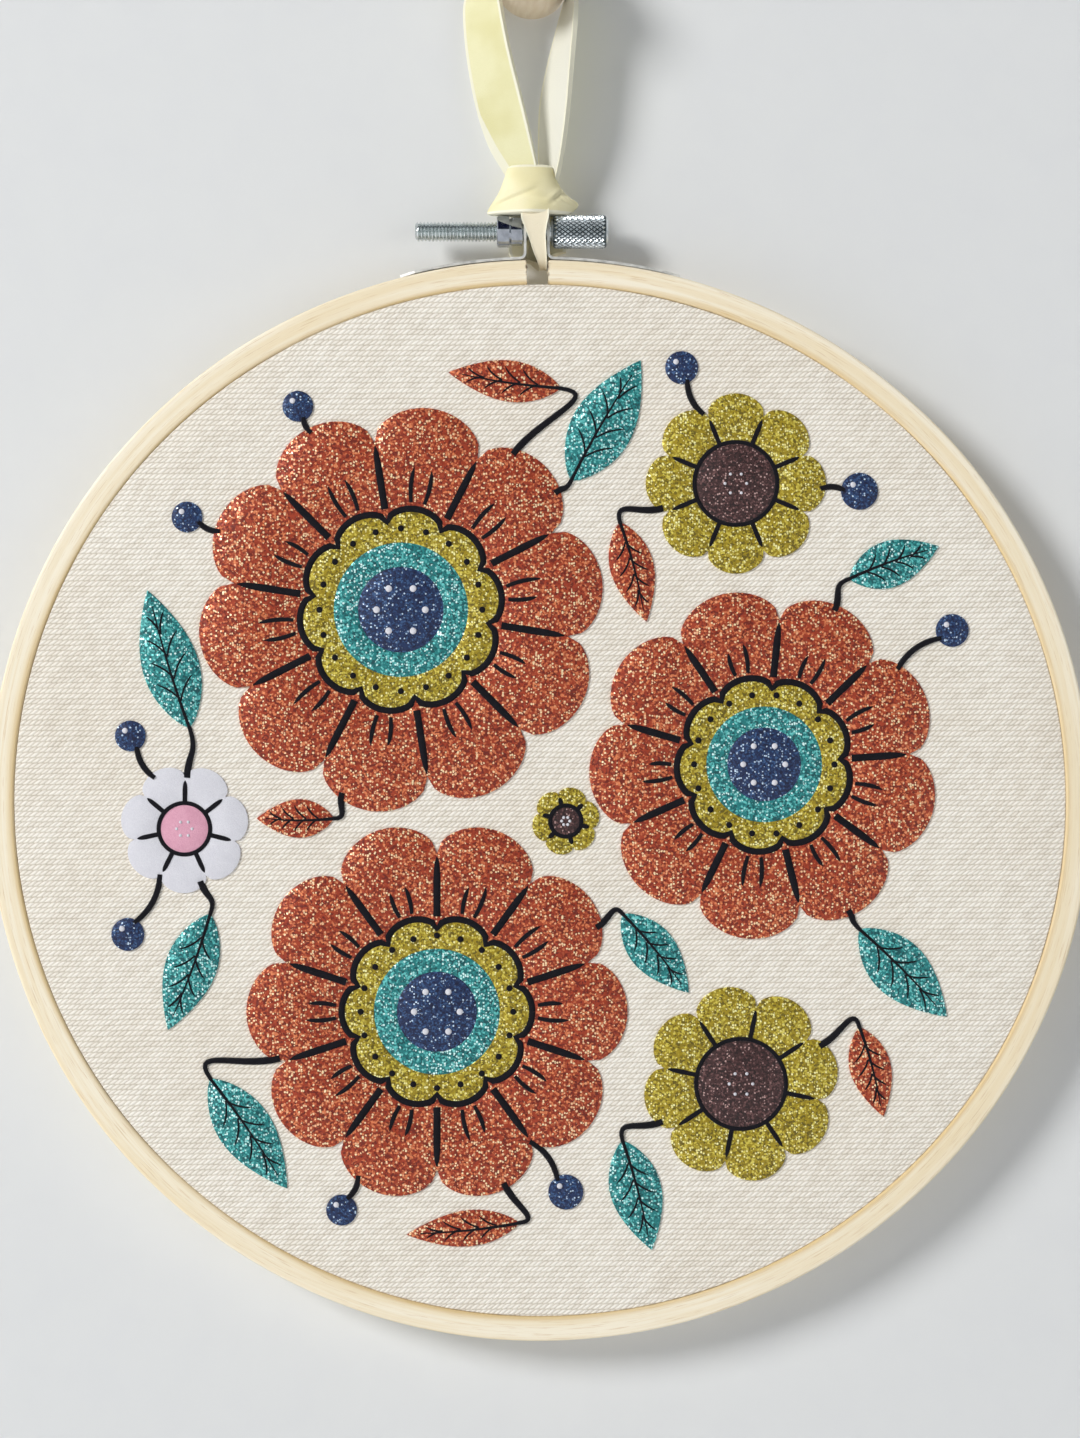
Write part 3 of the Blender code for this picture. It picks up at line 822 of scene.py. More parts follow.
def smooth_rows(rows: Sequence[Sequence[float]], per_span: int) -> list[tuple[float, ...]]:
    """Reads a smooth curve through rows of numbers.

    Args:
        rows: the rows that it passes through.
        per_span: how many steps there are from each row to the next.

    Returns:
        The finer rows.
    """
    fine = []
    last = len(rows) - 1
    for i in range(last):
        before, start, end, after = (rows[max(i - 1, 0)], rows[i], rows[i + 1], rows[min(i + 2, last)])
        for step in range(per_span):
            t = step / per_span
            fine.append(tuple(
                0.5 * (2 * b + (c - a) * t + (2 * a - 5 * b + 4 * c - d) * t ** 2
                       + (3 * b - a - 3 * c + d) * t ** 3)
                for a, b, c, d in zip(before, start, end, after)))
    fine.append(tuple(rows[last]))
    return fine


def frame_at(place: Vector, across: Vector, normal: Vector, along: Vector,
             wide: float = 1.0, thick: float = 1.0) -> Matrix:
    """A station's frame: the section's x runs across and its y along the normal."""
    turn = Matrix((across * wide, normal * thick, along)).transposed()
    return Matrix.Translation(place) @ turn.to_4x4()


# Sub-assemblies

@dataclass
class Strips:
    """The two bamboo strips, the outer one split at the top."""

    workshop: Workshop
    bamboo: bpy.types.Material
    thickness: float = 4.6
    pinch: float = 0.27
    split_left: float = -2.4
    split_right: float = 1.4
    outer_corner: float = 0.55
    inner_corner: float = 0.8
    steps: int = 240
    waver: float = 0.10
    rag: float = 0.45

    def build(self) -> None:
        """Builds both strips."""
        self.outer()
        self.inner()

    def section_of(self, node: str, corner: float, pinch: float = 0.0) -> tuple[list[Point], float]:
        """A strip's (radius, y) section from its node's box, and its outer radius.

        Args:
            node: the CAD node.
            corner: the section's corner radius.
            pinch: how far the strip's inner wall presses into what it holds.

        Returns:
            The section and the radius.
        """
        low, high = self.workshop.frame.local_box(node)
        radius = (high.x - low.x) / 2
        inside = radius - self.thickness - pinch
        return rounded_box(inside, radius, low.y, high.y, corner, 5, 4), radius

    def outer(self) -> None:
        """Spins the outer strip from one sawn end to the other, and roughens it."""
        section, radius = self.section_of("outer_ring", self.outer_corner, self.pinch)
        middle = radius - self.thickness / 2
        start = math.pi / 2 - math.asin(self.split_left / middle)
        sweep_angle = TURN - (math.asin(self.split_right / middle) - math.asin(self.split_left / middle))
        bm = bmesh.new()
        edges = ring_of(bm, [Vector((r, y, 0)) for r, y in section])
        face = bmesh.ops.edgeloop_fill(bm, edges=edges)["faces"]
        bmesh.ops.rotate(bm, verts=bm.verts, cent=(0, 0, 0), matrix=Matrix.Rotation(-start, 3, "Y"))
        bmesh.ops.spin(bm, geom=face, cent=(0, 0, 0), axis=(0, -1, 0), angle=sweep_angle,
                       steps=self.steps, use_merge=False, use_duplicate=False)
        bmesh.ops.scale(bm, vec=Vector((1, 1, self.workshop.frame.oval)), verts=bm.verts)
        ends = [f for f in bm.faces if len(f.verts) > 4]
        inset = bmesh.ops.inset_individual(bm, faces=ends, thickness=0.5, use_even_offset=True)
        for f in bmesh.ops.poke(bm, faces=ends)["faces"] + inset["faces"]:
            f.smooth = False
        self.roughen(bm)
        self.workshop.finish("outer_strip", bm, [self.bamboo], "bamboo", ["outer_ring"])

    def roughen(self, bm: bmesh.types.BMesh) -> None:
        """Makes the strip a little uneven and its sawn ends ragged."""
        for vert in bm.verts:
            place = vert.co.copy()
            away = Vector((place.x, 0, place.z)).normalized()
            vert.co += away * self.waver * noise.noise(Vector((place.x, place.y * 3, place.z)) / 23)
            from_split = max(self.split_left - place.x, place.x - self.split_right)
            if place.z > 0 and from_split < 0.8:
                side = -1 if place.x < 0 else 1
                push = noise.noise(Vector((place.y * 0.9, place.z * 1.6, side * 7.0)))
                vert.co.x += side * self.rag * (0.5 + push) * (1 - max(from_split, 0) / 0.8)

    def inner(self) -> None:
        """Spins the inner strip, which is closed."""
        section, _ = self.section_of("inner_ring", self.inner_corner)
        loop = [Vector((r, y, 0)) for r, y in section]
        bm = turned(loop + loop[:1], Vector((0, 1, 0)), Vector((0, 0, 0)), self.steps)
        bmesh.ops.scale(bm, vec=Vector((1, 1, self.workshop.frame.oval)), verts=bm.verts)
        self.workshop.finish("inner_strip", bm, [self.bamboo], "bamboo", ["inner_ring"])


@dataclass
class StretchedCloth:
    """The cloth: a taut face whose edge turns back between the strips."""

    workshop: Workshop
    canvas: bpy.types.Material
    thickness: float = 1.0
    corner: float = 0.25
    steps: int = 180
    rings: int = 16
    cut_across: float = 222.0

    def build(self) -> bpy.types.Object:
        """Returns:
            The cloth.
        """
        low, high = self.workshop.frame.local_box("canvas")
        rim = (high.x - low.x) / 2
        face = low.y
        outside = [((rim - self.corner) * i / self.rings, face) for i in range(self.rings)]
        outside += arc((rim - self.corner, face + self.corner), self.corner, -90, 0, 5)
        outside += [(rim, high.y)]
        inside = [(rim - self.thickness, high.y), (rim - self.thickness, face + self.thickness)]
        inside += [((rim - self.thickness) * i / self.rings, face + self.thickness)
                   for i in reversed(range(self.rings))]
        bm = turned([Vector((r, y, 0)) for r, y in outside + inside], Vector((0, 1, 0)),
                    Vector((0, 0, 0)), self.steps)
        bmesh.ops.scale(bm, vec=Vector((1, 1, self.workshop.frame.oval)), verts=bm.verts)
        cloth = self.workshop.finish("stretched_cloth", bm, [self.canvas], "canvas", ["canvas"])
        across = self.cut_across * MM
        math.pi / 4 * across ** 2
        return cloth


@dataclass
class Clamp:
    """The two bent plates and the nut that close the outer strip."""

    workshop: Workshop
    plate: bpy.types.Material
    chrome: bpy.types.Material
    axis_height: float = 111.0
    corner_radius: float = 3.3
    collar_radius: float = 2.95
    collar_start: float = 0.52
    groove: float = 0.3
    crown: float = 0.7
    edge_round: float = 0.12
    pip_radius: float = 0.42

    def build(self) -> None:
        """Dresses the plates, whose CAD shapes are right, and builds the nut."""
        for name in ("clamp_plate_left", "clamp_plate_right"):
            mesh = bpy.data.objects[name].data
            mesh.materials.clear()
            mesh.materials.append(self.plate)
            LOG.info("%s dressed", name)
        self.nut()

    def nut(self) -> None:
        """Builds a six-sided nut with a turned crown, a groove, a collar and a small pip."""
        low, high = self.workshop.frame.local_box("nut")
        split = low.x + (high.x - low.x) * self.collar_start
        bm = self.hexagon(low.x, split - self.groove / 2, self.corner_radius, self.crown)
        collar = self.hexagon(split + self.groove / 2, high.x, self.collar_radius, 0.25)
        join(bm, collar)
        neck = turned([Vector((x, 0, r)) for x, r in ((split - 0.4, 2.2), (split - 0.4, 2.55),
                                                      (split + 0.4, 2.55), (split + 0.4, 2.2))],
                      Vector((1, 0, 0)), Vector((0, 0, 0)), 36)
        join(bm, neck)
        pip = bmesh.ops.create_uvsphere(bm, u_segments=16, v_segments=10, radius=self.pip_radius)["verts"]
        slope = math.radians(30)
        reach = self.collar_radius * math.cos(slope)
        bmesh.ops.translate(bm, verts=pip, vec=Vector((split + 0.75, -reach * math.sin(slope),
                                                       reach * math.cos(slope))))
        bmesh.ops.translate(bm, vec=Vector((0, 0, self.axis_height)), verts=bm.verts)
        self.workshop.finish("nut_body", bm, [self.chrome], "bright_nut", ["nut"], HOOP, 25.0)

    def hexagon(self, left: float, right: float, corner: float, crown: float) -> bmesh.types.BMesh:
        """A six-sided bar with its corners in front and behind, and its left rim cut back.

        Args:
            left: its left end.
            right: its right end.
            corner: its corners' radius.
            crown: how much the left rim is cut back.

        Returns:
            The bar.
        """
        bm = bmesh.new()
        bmesh.ops.create_cone(bm, cap_ends=True, segments=6, radius1=corner, radius2=corner,
                              depth=right - left)
        bmesh.ops.rotate(bm, verts=bm.verts, cent=(0, 0, 0), matrix=Matrix.Rotation(math.pi / 2, 3, "Y"))
        bmesh.ops.rotate(bm, verts=bm.verts, cent=(0, 0, 0),
                         matrix=Matrix.Rotation(self.corner_turn(bm), 3, "X"))
        bmesh.ops.translate(bm, verts=bm.verts, vec=Vector(((left + right) / 2, 0, 0)))
        sides = [e for e in bm.edges if abs(e.verts[0].co.x - e.verts[1].co.x) > 0.1]
        bmesh.ops.bevel(bm, geom=sides, offset=self.edge_round, segments=2, profile=0.5,
                        affect="EDGES", material=-1)
        rim = [e for e in bm.edges if all(abs(v.co.x - left) < 1e-4 for v in e.verts)]
        bmesh.ops.bevel(bm, geom=rim, offset=crown * 0.6, segments=3, profile=0.5, affect="EDGES",
                        material=-1)
        return bm

    @staticmethod
    def corner_turn(bm: bmesh.types.BMesh) -> float:
        """The turn about X that brings a corner to the front."""
        bm.verts.ensure_lookup_table()
        corner = bm.verts[0].co
        return math.pi - math.atan2(corner.z, corner.y)


@dataclass
class ThumbScrew:
    """The screw: a threaded rod and a head with a diamond knurl."""

    workshop: Workshop
    threaded: bpy.types.Material
    knurled: bpy.types.Material
    axis_height: float = 111.0
    rod_radius: float = 1.95
    thread_depth: float = 0.42
    pitch: float = 0.70
    rod_left: float = -24.4
    rod_right: float = 2.2
    head_right: float = 13.3
    head_radius: float = 3.3
    rod_steps: int = 28
    knurls_round: int = 22
    knurls_along: int = 9
    knurl_depth: float = 0.32
    knurl_slope: float = 0.24
    end_chamfer: float = 0.45

    def build(self) -> None:
        """Builds the rod and the head."""
        self.rod()
        self.head()

    def rod(self) -> None:
        """Winds the thread as a helix of one ridge, and closes both ends."""
        bm = bmesh.new()
        root = self.rod_radius - self.thread_depth
        crest = self.rod_radius - 0.02
        shape = ((0.0, root), (0.06, root), (0.34, crest), (0.66, crest), (0.94, root), (1.0, root))
        verts = [bm.verts.new((self.rod_left + share * self.pitch, 0, r)) for share, r in shape]
        edges = [bm.edges.new(pair) for pair in zip(verts, verts[1:])]
        turns = int((self.rod_right - self.rod_left) / self.pitch) - 1
        steps = turns * self.rod_steps
        bmesh.ops.spin(bm, geom=verts + edges, cent=(0, 0, 0), axis=(1, 0, 0), angle=TURN * turns,
                       steps=steps, dvec=(self.pitch / self.rod_steps, 0, 0), use_merge=False,
                       use_duplicate=False)
        bmesh.ops.remove_doubles(bm, verts=bm.verts, dist=0.004)
        for vert in bm.verts:
            limit = root - 0.1 + max(vert.co.x - self.rod_left, 0.0)
            around = math.hypot(vert.co.y, vert.co.z)
            if around > limit:
                bmesh.ops.scale(bm, vec=Vector((1, limit / around, limit / around)), verts=[vert])
        core = [(self.rod_left + 0.05, 0.0), (self.rod_left + 0.05, root - 0.25),
                (self.rod_left + 0.3, root + 0.02), (self.rod_right - self.pitch, root + 0.02),
                (self.rod_right - self.pitch, self.rod_radius), (self.rod_right, self.rod_radius)]
        core_mesh = turned([Vector((x, 0, r)) for x, r in core], Vector((1, 0, 0)),
                           Vector((0, 0, 0)), self.rod_steps)
        join(bm, core_mesh)
        bmesh.ops.translate(bm, vec=Vector((0, 0, self.axis_height)), verts=bm.verts)
        self.workshop.finish("screw_rod", bm, [self.threaded], "plated_steel", ["thumb_screw"], SCREW, 30.0)

    def head(self) -> None:
        """Cuts a lattice of diamonds on a turned head and raises each to a point."""
        radius = self.head_radius - self.knurl_depth
        left, right = self.rod_right + self.end_chamfer, self.head_right - self.end_chamfer
        stations = [left + (right - left) * i / self.knurls_along for i in range(self.knurls_along + 1)]
        bm = turned([Vector((x, 0, radius)) for x in stations], Vector((1, 0, 0)),
                    Vector((0, 0, 0)), self.knurls_round)
        squares = list(bm.edges)
        bmesh.ops.poke(bm, faces=bm.faces[:])
        for vert in bm.verts:
            around = math.hypot(vert.co.y, vert.co.z)
            vert.co.y *= radius / around
            vert.co.z *= radius / around
        inner = [edge for edge in squares if edge.is_valid and len(edge.link_faces) == 2]
        bmesh.ops.dissolve_edges(bm, edges=inner, use_verts=False)
        bmesh.ops.reverse_faces(bm, faces=bm.faces)
        diamonds = [face for face in bm.faces if len(face.verts) == 4]
        bmesh.ops.inset_individual(bm, faces=diamonds, thickness=self.knurl_slope,
                                   depth=self.knurl_depth, use_even_offset=True)
        ends = [(left, radius), (self.rod_right, radius - self.end_chamfer), (self.rod_right, 0)]
        join(bm, turned([Vector((x, 0, r)) for x, r in ends], Vector((1, 0, 0)),
                        Vector((0, 0, 0)), self.knurls_round))
        ends = [(right, radius), (self.head_right, radius - self.end_chamfer), (self.head_right, 0)]
        join(bm, turned([Vector((x, 0, r)) for x, r in ends], Vector((1, 0, 0)),
                        Vector((0, 0, 0)), self.knurls_round))
        bmesh.ops.translate(bm, vec=Vector((0, 0, self.axis_height)), verts=bm.verts)
        self.workshop.finish("screw_head", bm, [self.knurled], "plated_steel", (), SCREW, 12.0)


@dataclass
class Ribbon:
    """The velvet ribbon: a loop over the peg, a knot and a folded loop under the screw."""

    workshop: Workshop
    velvet: bpy.types.Material
    # Painted light: the velvet's copy, made lighter to offset the shade on the knot and the fold.
    lighter_velvet: bpy.types.Material
    width: float = 10.0
    thickness: float = 0.8
    edge_bead: float = 0.12
    peg_x: float = -1.6
    peg_z: float = 161.1
    loop_radius: float = 8.0
    left_strand: Sequence[tuple[float, ...]] = (
        (119.5, -2.9, -0.9, 5.6, 14), (123.6, -3.9, -1.0, 7.0, 20), (129.5, -6.1, -0.6, 9.2, 25),
        (136.7, -8.1, -0.2, 10.0, 28), (144.5, -9.8, 0.0, 10.0, 33), (151.0, -10.8, 0.0, 10.0, 39),
        (156.3, -11.3, 0.0, 10.0, 47), (159.0, -11.2, 0.0, 10.0, 66))
    right_strand: Sequence[tuple[float, ...]] = (
        (159.0, 6.5, 0.0, 10.0, 84), (156.3, 6.0, 0.0, 10.0, 78), (151.0, 5.2, 0.0, 10.0, 70),
        (144.5, 4.1, 0.0, 10.0, 63), (136.7, 3.0, 0.2, 10.0, 57), (129.5, 2.4, 0.6, 8.6, 55),
        (123.6, 1.9, 0.9, 6.4, 52), (119.5, 1.2, 0.9, 5.0, 50))
    arc_turns: Sequence[tuple[float, float, float]] = (
        (180, 0.75, 82), (150, 0.1, 90), (120, 0.0, 90), (90, 0.0, 90), (60, 0.0, 90), (30, 0.05, 90),
        (0, 0.3, 88))
    knot_rows: Sequence[tuple[float, ...]] = (
        (123.8, -5.8, 2.0, -2.3, 2.3, 2.2), (123.2, -6.4, 2.5, -2.9, 2.9, 2.4),
        (121.4, -7.0, 3.1, -3.8, 3.4, 2.4), (119.0, -7.9, 4.4, -4.4, 3.8, 2.1),
        (117.5, -8.7, 6.0, -4.8, 4.0, 1.8), (116.6, -9.3, 7.3, -5.0, 4.0, 1.6),
        (115.8, -9.8, 7.4, -5.0, 4.0, 1.5), (115.0, -10.2, 6.7, -5.1, 3.8, 1.4),
        (114.4, -10.3, 6.0, -5.1, 3.6, 1.4), (114.15, -10.0, 5.6, -4.8, 3.4, 1.4))
    knot_steps: int = 72
    creases: Sequence[tuple[float, ...]] = (
        (0.36, -6.0, 116.8, 0.7, 0.42, -9.5, -0.5), (-0.22, 0.0, 116.2, 0.8, 0.2, -3.5, 3.5),
        (0.95, 3.4, 117.4, 0.55, 0.45, 1.2, 5.6), (-0.35, 5.6, 116.4, 0.4, 0.4, 3.4, 7.4))
    length: float = field(init=False, default=0.0)

    def build(self) -> None:
        loop = self.loop()
        knot, under = self.knot(), self.under()
        self.width * MM

    def section(self) -> list[Vector]:
        """The ribbon's section, a millimetre wide each way, with slightly thicker edges."""
        half = self.thickness / 2
        outline = rounded_box(-0.5, 0.5, -half, half, 0.035, 3, 8)
        points = []
        for x, y in outline:
            bead = 1 + self.edge_bead / half * max(0.0, (abs(x) - 0.42) / 0.08)
            points.append(Vector((x, y * bead, 0)))
        return points

    @staticmethod
    def marker(bm: bmesh.types.BMesh, pile_share: float, turned_edge: int = 0) -> Marker:
        """Notes on each vertex how far across it is and how much of the pile shows there.

        Args:
            bm: the shape.
            pile_share: how piled the front is, from 0 to 1.
            turned_edge: over how many stations the left edge's back shows, more towards the first.

        Returns:
            What marks a vertex.
        """
        across = bm.verts.layers.float.new("across")
        pile = bm.verts.layers.float.new("pile")

        def mark(vert: bmesh.types.BMVert, point: Vector, station: int) -> None:
            """Marks a vertex by its place in the section and its station."""
            turned_share = max(0.0, 1 - station / turned_edge) if turned_edge else 0.0
            vert[across] = point.x * 2 * (1 + (1.1 * turned_share if point.x < 0 else 0.0))
            vert[pile] = pile_share if point.y < 0 else 0.0

        return mark

    def loop(self) -> bpy.types.Object:
        """Carries the ribbon from the knot, over the peg and back into the knot."""
        rows = [(x, y, z, width, turn) for z, x, y, width, turn in self.left_strand]
        for angle, extra, turn in self.arc_turns:
            around = math.radians(angle)
            reach = self.loop_radius + extra
            rows.append((self.peg_x + reach * math.cos(around), 0.0,
                         self.peg_z + reach * math.sin(around), self.width, turn))
        rows += [(x, y, z, width, turn) for z, x, y, width, turn in self.right_strand]
        fine = smooth_rows(rows, 5)
        places = [Vector(row[:3]) for row in fine]
        self.length = sum((b - a).length for a, b in zip(places, places[1:]))
        frames = []
        for i, row in enumerate(fine):
            along = (places[min(i + 1, len(fine) - 1)] - places[max(i - 1, 0)]).normalized()
            turn = math.radians(row[4])
            wide = Vector((math.cos(turn), -math.sin(turn), 0))
            wide = (wide - along * wide.dot(along)).normalized()
            frames.append(frame_at(places[i], wide, along.cross(wide), along, row[3]))
        bm = bmesh.new()
        sweep(bm, self.section(), frames, self.marker(bm, 1.0, 14))
        return self.workshop.finish("ribbon_loop", bm, [self.velvet], "velvet", ["ribbon"])

    def knot(self) -> bpy.types.Object:
        """Wraps the ribbon round the strands: narrow above, flared and folded below."""
        rows = smooth_rows(self.knot_rows, 5)
        bm = bmesh.new()
        across = bm.verts.layers.float.new("across")
        pile = bm.verts.layers.float.new("pile")
        loops = []
        top, bottom = rows[0][0], rows[-1][0]
        for z, left, right, front, back, power in rows:
            share = (top - z) / (top - bottom)
            points = []
            for i in range(self.knot_steps):
                angle = TURN * i / self.knot_steps
                c, s = math.cos(angle), math.sin(angle)
                reach = (abs(c) ** power + abs(s) ** power) ** (-1 / power)
                x = (left + right) / 2 + (right - left) / 2 * c * reach
                y = (front + back) / 2 + (back - front) / 2 * s * reach
                points.append(Vector((x, y + self.fold(x, z, y), z)))
            edges = ring_of(bm, points)
            for edge in edges:
                edge.verts[0][across] = share * 2 - 1
                edge.verts[0][pile] = 1.0
            loops.append(edges)
        for first, second in zip(loops, loops[1:]):
            bmesh.ops.bridge_loops(bm, edges=first + second)
        for edges in (loops[0], loops[-1]):
            bmesh.ops.edgeloop_fill(bm, edges=edges)
        # The knot takes the velvet's copy that is painted lighter against its shade.
        return self.workshop.finish("ribbon_knot", bm, [self.lighter_velvet], "velvet", (), HOOP, 60.0)

    def fold(self, x: float, z: float, y: float) -> float:
        """How far the knot's front stands out at a place, as soft diagonal folds.

        Args:
            x: the place's x.
            z: its z.
            y: its y on the plain knot; only the front has folds.

        Returns:
            The distance, less than nothing towards the front.
        """
        if y > 0:
            return 0.0
        out = 0.0
        for crease in self.creases:
            slope, x_at, z_at, spread, depth, x_from, x_to = crease
            off = (z - z_at - slope * (x - x_at)) / math.hypot(1, slope)
            run = max(0.0, min(1.0, (x - x_from) / 1.5, (x_to - x) / 1.5))
            swell = math.exp(-((off - spread) / spread) ** 2) - math.exp(-(off / spread) ** 2 * 2.5)
            out -= depth * run * swell
        return out * min(1.0, -y / 2.0)

    def under(self) -> bpy.types.Object:
        """Folds the ribbon under the screw, between the plates."""
        bm = bmesh.new()
        rows = [(-1.0, -2.4, 117.2, 5.0, 1.0), (-1.0, -3.6, 115.0, 5.4, 1.0),
                (-0.95, -4.0, 113.3, 5.4, 1.0), (-0.8, -3.9, 111.6, 4.4, 1.1),
                (-0.5, -3.5, 109.6, 3.3, 1.3),
                (-0.1, -3.0, 107.5, 2.7, 1.5), (0.4, -2.1, 105.5, 1.9, 1.7),
                (0.65, -0.9, 104.5, 1.3, 1.8), (0.5, 0.7, 104.3, 1.5, 1.8),
                (0.2, 2.2, 104.9, 2.6, 1.4), (-0.2, 3.5, 106.0, 4.4, 1.1),
                (-0.5, 4.3, 107.1, 10.8, 1.0), (-0.5, 4.4, 109.6, 11.0, 1.0),
                (-0.6, 3.9, 113.0, 9.4, 1.0), (-0.8, 3.0, 117.0, 7.0, 1.0)]
        fine = smooth_rows(rows, 5)
        places = [Vector(row[:3]) for row in fine]
        frames = []
        for i, row in enumerate(fine):
            along = (places[min(i + 1, len(fine) - 1)] - places[max(i - 1, 0)]).normalized()
            wide = Vector((1, 0, 0))
            wide = (wide - along * wide.dot(along)).normalized()
            frames.append(frame_at(places[i], wide, along.cross(wide), along, row[3], row[4]))
        sweep(bm, self.section(), frames, self.marker(bm, 0.56))
        # The fold takes the velvet's copy that is painted lighter against its shade.
        return self.workshop.finish("ribbon_under", bm, [self.lighter_velvet], "velvet", ())


@dataclass
class Peg:
    """The wooden peg with its rounded end."""

    workshop: Workshop
    wood: bpy.types.Material
    steps: int = 72
    dome_steps: int = 14
    shank: float = 15.0

    def build(self) -> None:
        """Turns the peg about its axis, from the wall to its rounded end."""
        low, high = self.workshop.frame.local_box("wall_peg")
        radius = (high.z - low.z) / 2
        centre = Vector(((low.x + high.x) / 2, 0, (low.z + high.z) / 2))
        shoulder = high.y - self.shank
        dome = shoulder - low.y
        profile = [(high.y, 0.0), (high.y, radius)]
        for i in range(self.dome_steps + 1):
            angle = math.pi / 2 * i / self.dome_steps
            profile.append((shoulder - dome * math.sin(angle), radius * math.cos(angle)))
        bm = turned([centre + Vector((0, y, r)) for y, r in profile], Vector((0, 1, 0)), centre,
                    self.steps)
        self.workshop.finish("wooden_peg", bm, [self.wood], "peg_wood", ["wall_peg"])


@dataclass(frozen=True)
class Flower:
    """A flower's place, size and petals."""

    name: str
    x: float
    z: float
    radius: float
    petals: int
    turn: float

    def outline(self, radius: float, dip: float, per_petal: int) -> list[Point]:
        """A round outline scalloped into petals that dip towards the middle.

        Args:
            radius: the petals' reach.
            dip: how far they dip between them, as a share of the reach.
            per_petal: how many pieces a petal is in.

        Returns:
            The points.
        """
        points = []
        count = self.petals * per_petal
        for i in range(count):
            angle = TURN * i / count
            r = radius * (1 - dip + dip * self.bulge(angle))
            around = angle + math.radians(self.turn)
            points.append((self.x + r * math.cos(around), self.z + r * math.sin(around)))
        return points

    def bulge(self, angle: float) -> float:
        """How far a petal stands out at an angle from the first petal's middle."""
        return math.sqrt(abs(math.cos(self.petals * angle / 2)))

    def rim_toward(self, place: Vector, dip: float, inset: float) -> tuple[Vector, Vector]:
        """A point on the scalloped rim in a place's direction, and that direction.

        Args:
            place: the place.
            dip: how far the petals dip, as a share of the radius.
            inset: how far in from the rim the point lies.

        Returns:
            The point and the direction.
        """
        centre = Vector((self.x, self.z))
        away = (place - centre).normalized()
        angle = math.atan2(away.y, away.x) - math.radians(self.turn)
        return centre + away * (self.radius * (1 - dip + dip * self.bulge(angle)) - inset), away


@dataclass(frozen=True)
class Leaf:
    """A leaf or a pod: where its stalk starts, its direction, length, width and colour."""

    name: str
    x: float
    z: float
    angle: float
    length: float
    width: float
    colour: str

    def directions(self) -> tuple[Vector, Vector]:
        """The leaf's direction and the one across it."""
        turn = math.radians(self.angle)
        along = Vector((math.cos(turn), math.sin(turn)))
        return along, Vector((-along.y, along.x))

    def half_width(self, share: float) -> float:
        """Half its width at a share of its length."""
        return self.width / 2 * max(math.sin(math.pi * share ** 0.85), 0.0) ** 0.9

    def outline(self, steps: int = 28) -> list[Point]:
        """The outline from the stalk to the tip and back.

        Args:
            steps: how many pieces each side is in.

        Returns:
            The points.
        """
        along, across = self.directions()
        start = Vector((self.x, self.z))
        shares = [i / steps for i in range(1, steps)]
        points = [start]
        points += [start + along * self.length * t + across * self.half_width(t) for t in shares]
        points += [start + along * self.length]
        points += [start + along * self.length * t - across * self.half_width(t)
                   for t in reversed(shares)]
        return [tuple(point) for point in points]


@dataclass(frozen=True)
class Berry:
    """A round berry."""

    name: str
    x: float
    z: float
    radius: float


class FlowerKind(Enum):
    """Rings of colour in a flower: colour, where each starts and ends, and its petals' dip."""

    BLOOM = (("copper", 1.0, 0.50, 0.17), ("gold", 0.50, 0.33, 0.13), ("teal", 0.33, 0.21, 0.0),
             ("navy", 0.21, 0.0, 0.0))
    BLOSSOM = (("gold", 1.0, 0.46, 0.2), ("brown", 0.46, 0.0, 0.0))
    DAISY = (("white", 1.0, 0.40, 0.2), ("pink", 0.40, 0.0, 0.0))


